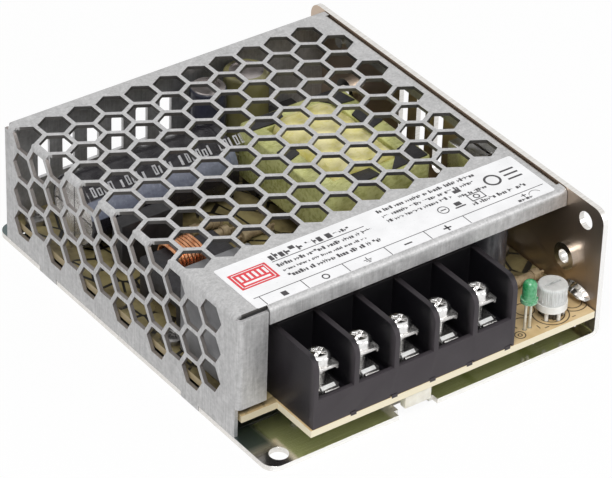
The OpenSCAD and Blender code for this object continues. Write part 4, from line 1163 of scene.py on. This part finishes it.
labelLook = {
    "ink": (0.02, 0.018, 0.02),
    "height": 29.92,         # mm, where the ink lies
    "stripLine": -33.9,
    "separators": (-33.4, -23.6, -13.65, -3.5, 6.3, 16.1),
    # left, right, base, height and letter of each row: heading, lines under it, block of small lines
    "rows": ((-24.4, -9.0, -25.5, 2.2, 1.35), (-9.0, -4.2, -25.2, 1.0, 0.7),
             (-24.4, -1.2, -28.0, 1.1, 0.62), (-24.4, -4.0, -29.75, 0.75, 0.45),
             (-24.4, -1.6, -31.9, 1.2, 0.66), (2.6, 27.4, -24.0, 1.05, 0.60),
             (2.6, 25.4, -25.9, 1.05, 0.60), (2.6, 18.6, -27.7, 1.0, 0.60),
             (19.6, 27.4, -28.6, 0.8, 0.5), (20.4, 34.6, -32.4, 1.1, 0.62)),
    "stripRow": (28.6, 32.6, -36.5, 0.95, 0.9),
    # two corners of each bar: under the heading, then the plain marks beside the small lines
    "bars": ((-24.6, -26.05, -2.4, -25.85), (13.5, -30.35, 14.9, -30.05), (16.6, -31.3, 19.2, -30.9),
             (17.2, -30.6, 18.7, -29.4), (21.0, -31.1, 24.6, -30.85), (21.0, -28.7, 24.6, -28.95),
             (21.0, -31.1, 21.25, -28.7), (24.35, -31.1, 24.6, -28.7), (19.6, -26.9, 21.4, -25.9),
             (31.9, -29.0, 35.4, -28.5), (31.9, -27.5, 35.4, -27.0), (31.9, -26.0, 35.4, -25.5)),
    "rings": ((14.2, -30.2, 1.25, 0.22), (22.8, -29.9, 0.75, 0.28), (29.0, -27.2, 1.9, 0.5)),
    # the marks of the strip, over the terminals
    "stripBars": ((-29.2, -36.4, -27.9, -35.0), (-8.7, -35.5, -8.5, -34.7), (0.4, -35.75, 2.3, -35.35),
                  (10.1, -35.75, 12.0, -35.35), (10.85, -36.5, 11.25, -34.6), (30.2, -35.1, 31.4, -34.85),
                  (30.68, -35.6, 30.92, -34.4)),
    "stripRings": ((-18.7, -35.6, 0.85, 0.3), (33.2, -36.0, 1.5, 0.14, 20, 160)),
    "steps": (1.9, 1.25, 0.6),
    # the red field and the pale bars on it
    "field": (-34.8, -30.6, -25.9, -25.1),
    "fieldBars": ((-34.3, -30.2, -26.4, -30.0), (-34.3, -25.7, -26.4, -25.5), (-34.3, -30.2, -34.1, -25.5),
                  (-26.6, -30.2, -26.4, -25.5), (-33.5, -29.5, -27.2, -28.85)),
    "fieldPosts": (-33.5, -32.3, -31.1, -29.9, -28.7, -27.5),
}


def inkWords(quads, picker, left, right, base, height, gap=0.32, letter=0.55):
    # a row of short blocks in groups, where the real one has a line of words
    x = left
    while x < right - letter:
        for k in range(picker.randint(2, 7)):
            wide = letter * picker.uniform(0.55, 0.95)
            low = base + (height * 0.5 if picker.random() < 0.12 else 0)
            tall = height * picker.choice((0.72, 0.72, 1.0))
            if x + wide > right:
                break
            if picker.random() < 0.45:
                quads += barQuad(x, low, x + wide * 0.34, base + tall)
                quads += barQuad(x + wide * 0.34, low + (tall * 0.36 if low == base else 0), x + wide,
                                 base + tall * 0.72)
            else:
                quads += barQuad(x, low, x + wide, base + tall)
            x += wide + letter * 0.22
        x += gap + letter * 0.3


def labelPrint():
    picker = random.Random(35)
    ink = mottledMaterial("labelInk", labelLook["ink"], (0.05, 0.045, 0.05), 1.5, 0.4, bumpDepth=0.002)
    red = mottledMaterial("labelRed", (0.66, 0.03, 0.045), (0.78, 0.045, 0.06), 2.0, 0.35, bumpDepth=0.002)
    white = mottledMaterial("labelWhite", (0.84, 0.84, 0.84), (0.93, 0.93, 0.93), 2.0, 0.35, bumpDepth=0.002)
    line, height = labelLook["stripLine"], labelLook["height"]
    quads = []
    for left, right, base, tall, letter in labelLook["rows"]:
        inkWords(quads, picker, left, right, base, tall, letter=letter)
    left, right, base, tall, letter = labelLook["stripRow"]
    inkWords(quads, picker, left, right, base, tall, letter=letter)
    for bar in labelLook["bars"] + labelLook["stripBars"]:
        quads += barQuad(*bar)
    for ring in labelLook["rings"] + labelLook["stripRings"]:
        quads += ringQuads(*ring)
    quads += barQuad(-34.6, line - 0.09, 36.6, line + 0.09)
    for x in labelLook["separators"]:
        quads += barQuad(x - 0.09, -36.9, x + 0.09, line)
    for k, wide in enumerate(labelLook["steps"]):
        quads += barQuad(-8.6 - wide / 2, -35.65 - 0.42 * k, -8.6 + wide / 2, -35.45 - 0.42 * k)
    printPiece("labelInk", quads, height, ink)
    printPiece("labelField", barQuad(*labelLook["field"]), height, red)
    fieldShapes = []
    for bar in labelLook["fieldBars"]:
        fieldShapes += barQuad(*bar)
    for x in labelLook["fieldPosts"]:
        fieldShapes += barQuad(x, -28.3, x + 0.6, -26.3)
    printPiece("labelFieldShapes", fieldShapes, height + 0.02, white)


stickerMaterial = mottledMaterial("stickerStock", (0.84, 0.84, 0.85), (0.93, 0.93, 0.94), 5.0, 0.3,
                                  bumpDepth=0.004)
dressNode("label", stickerMaterial)
labelPrint()
print("label done")
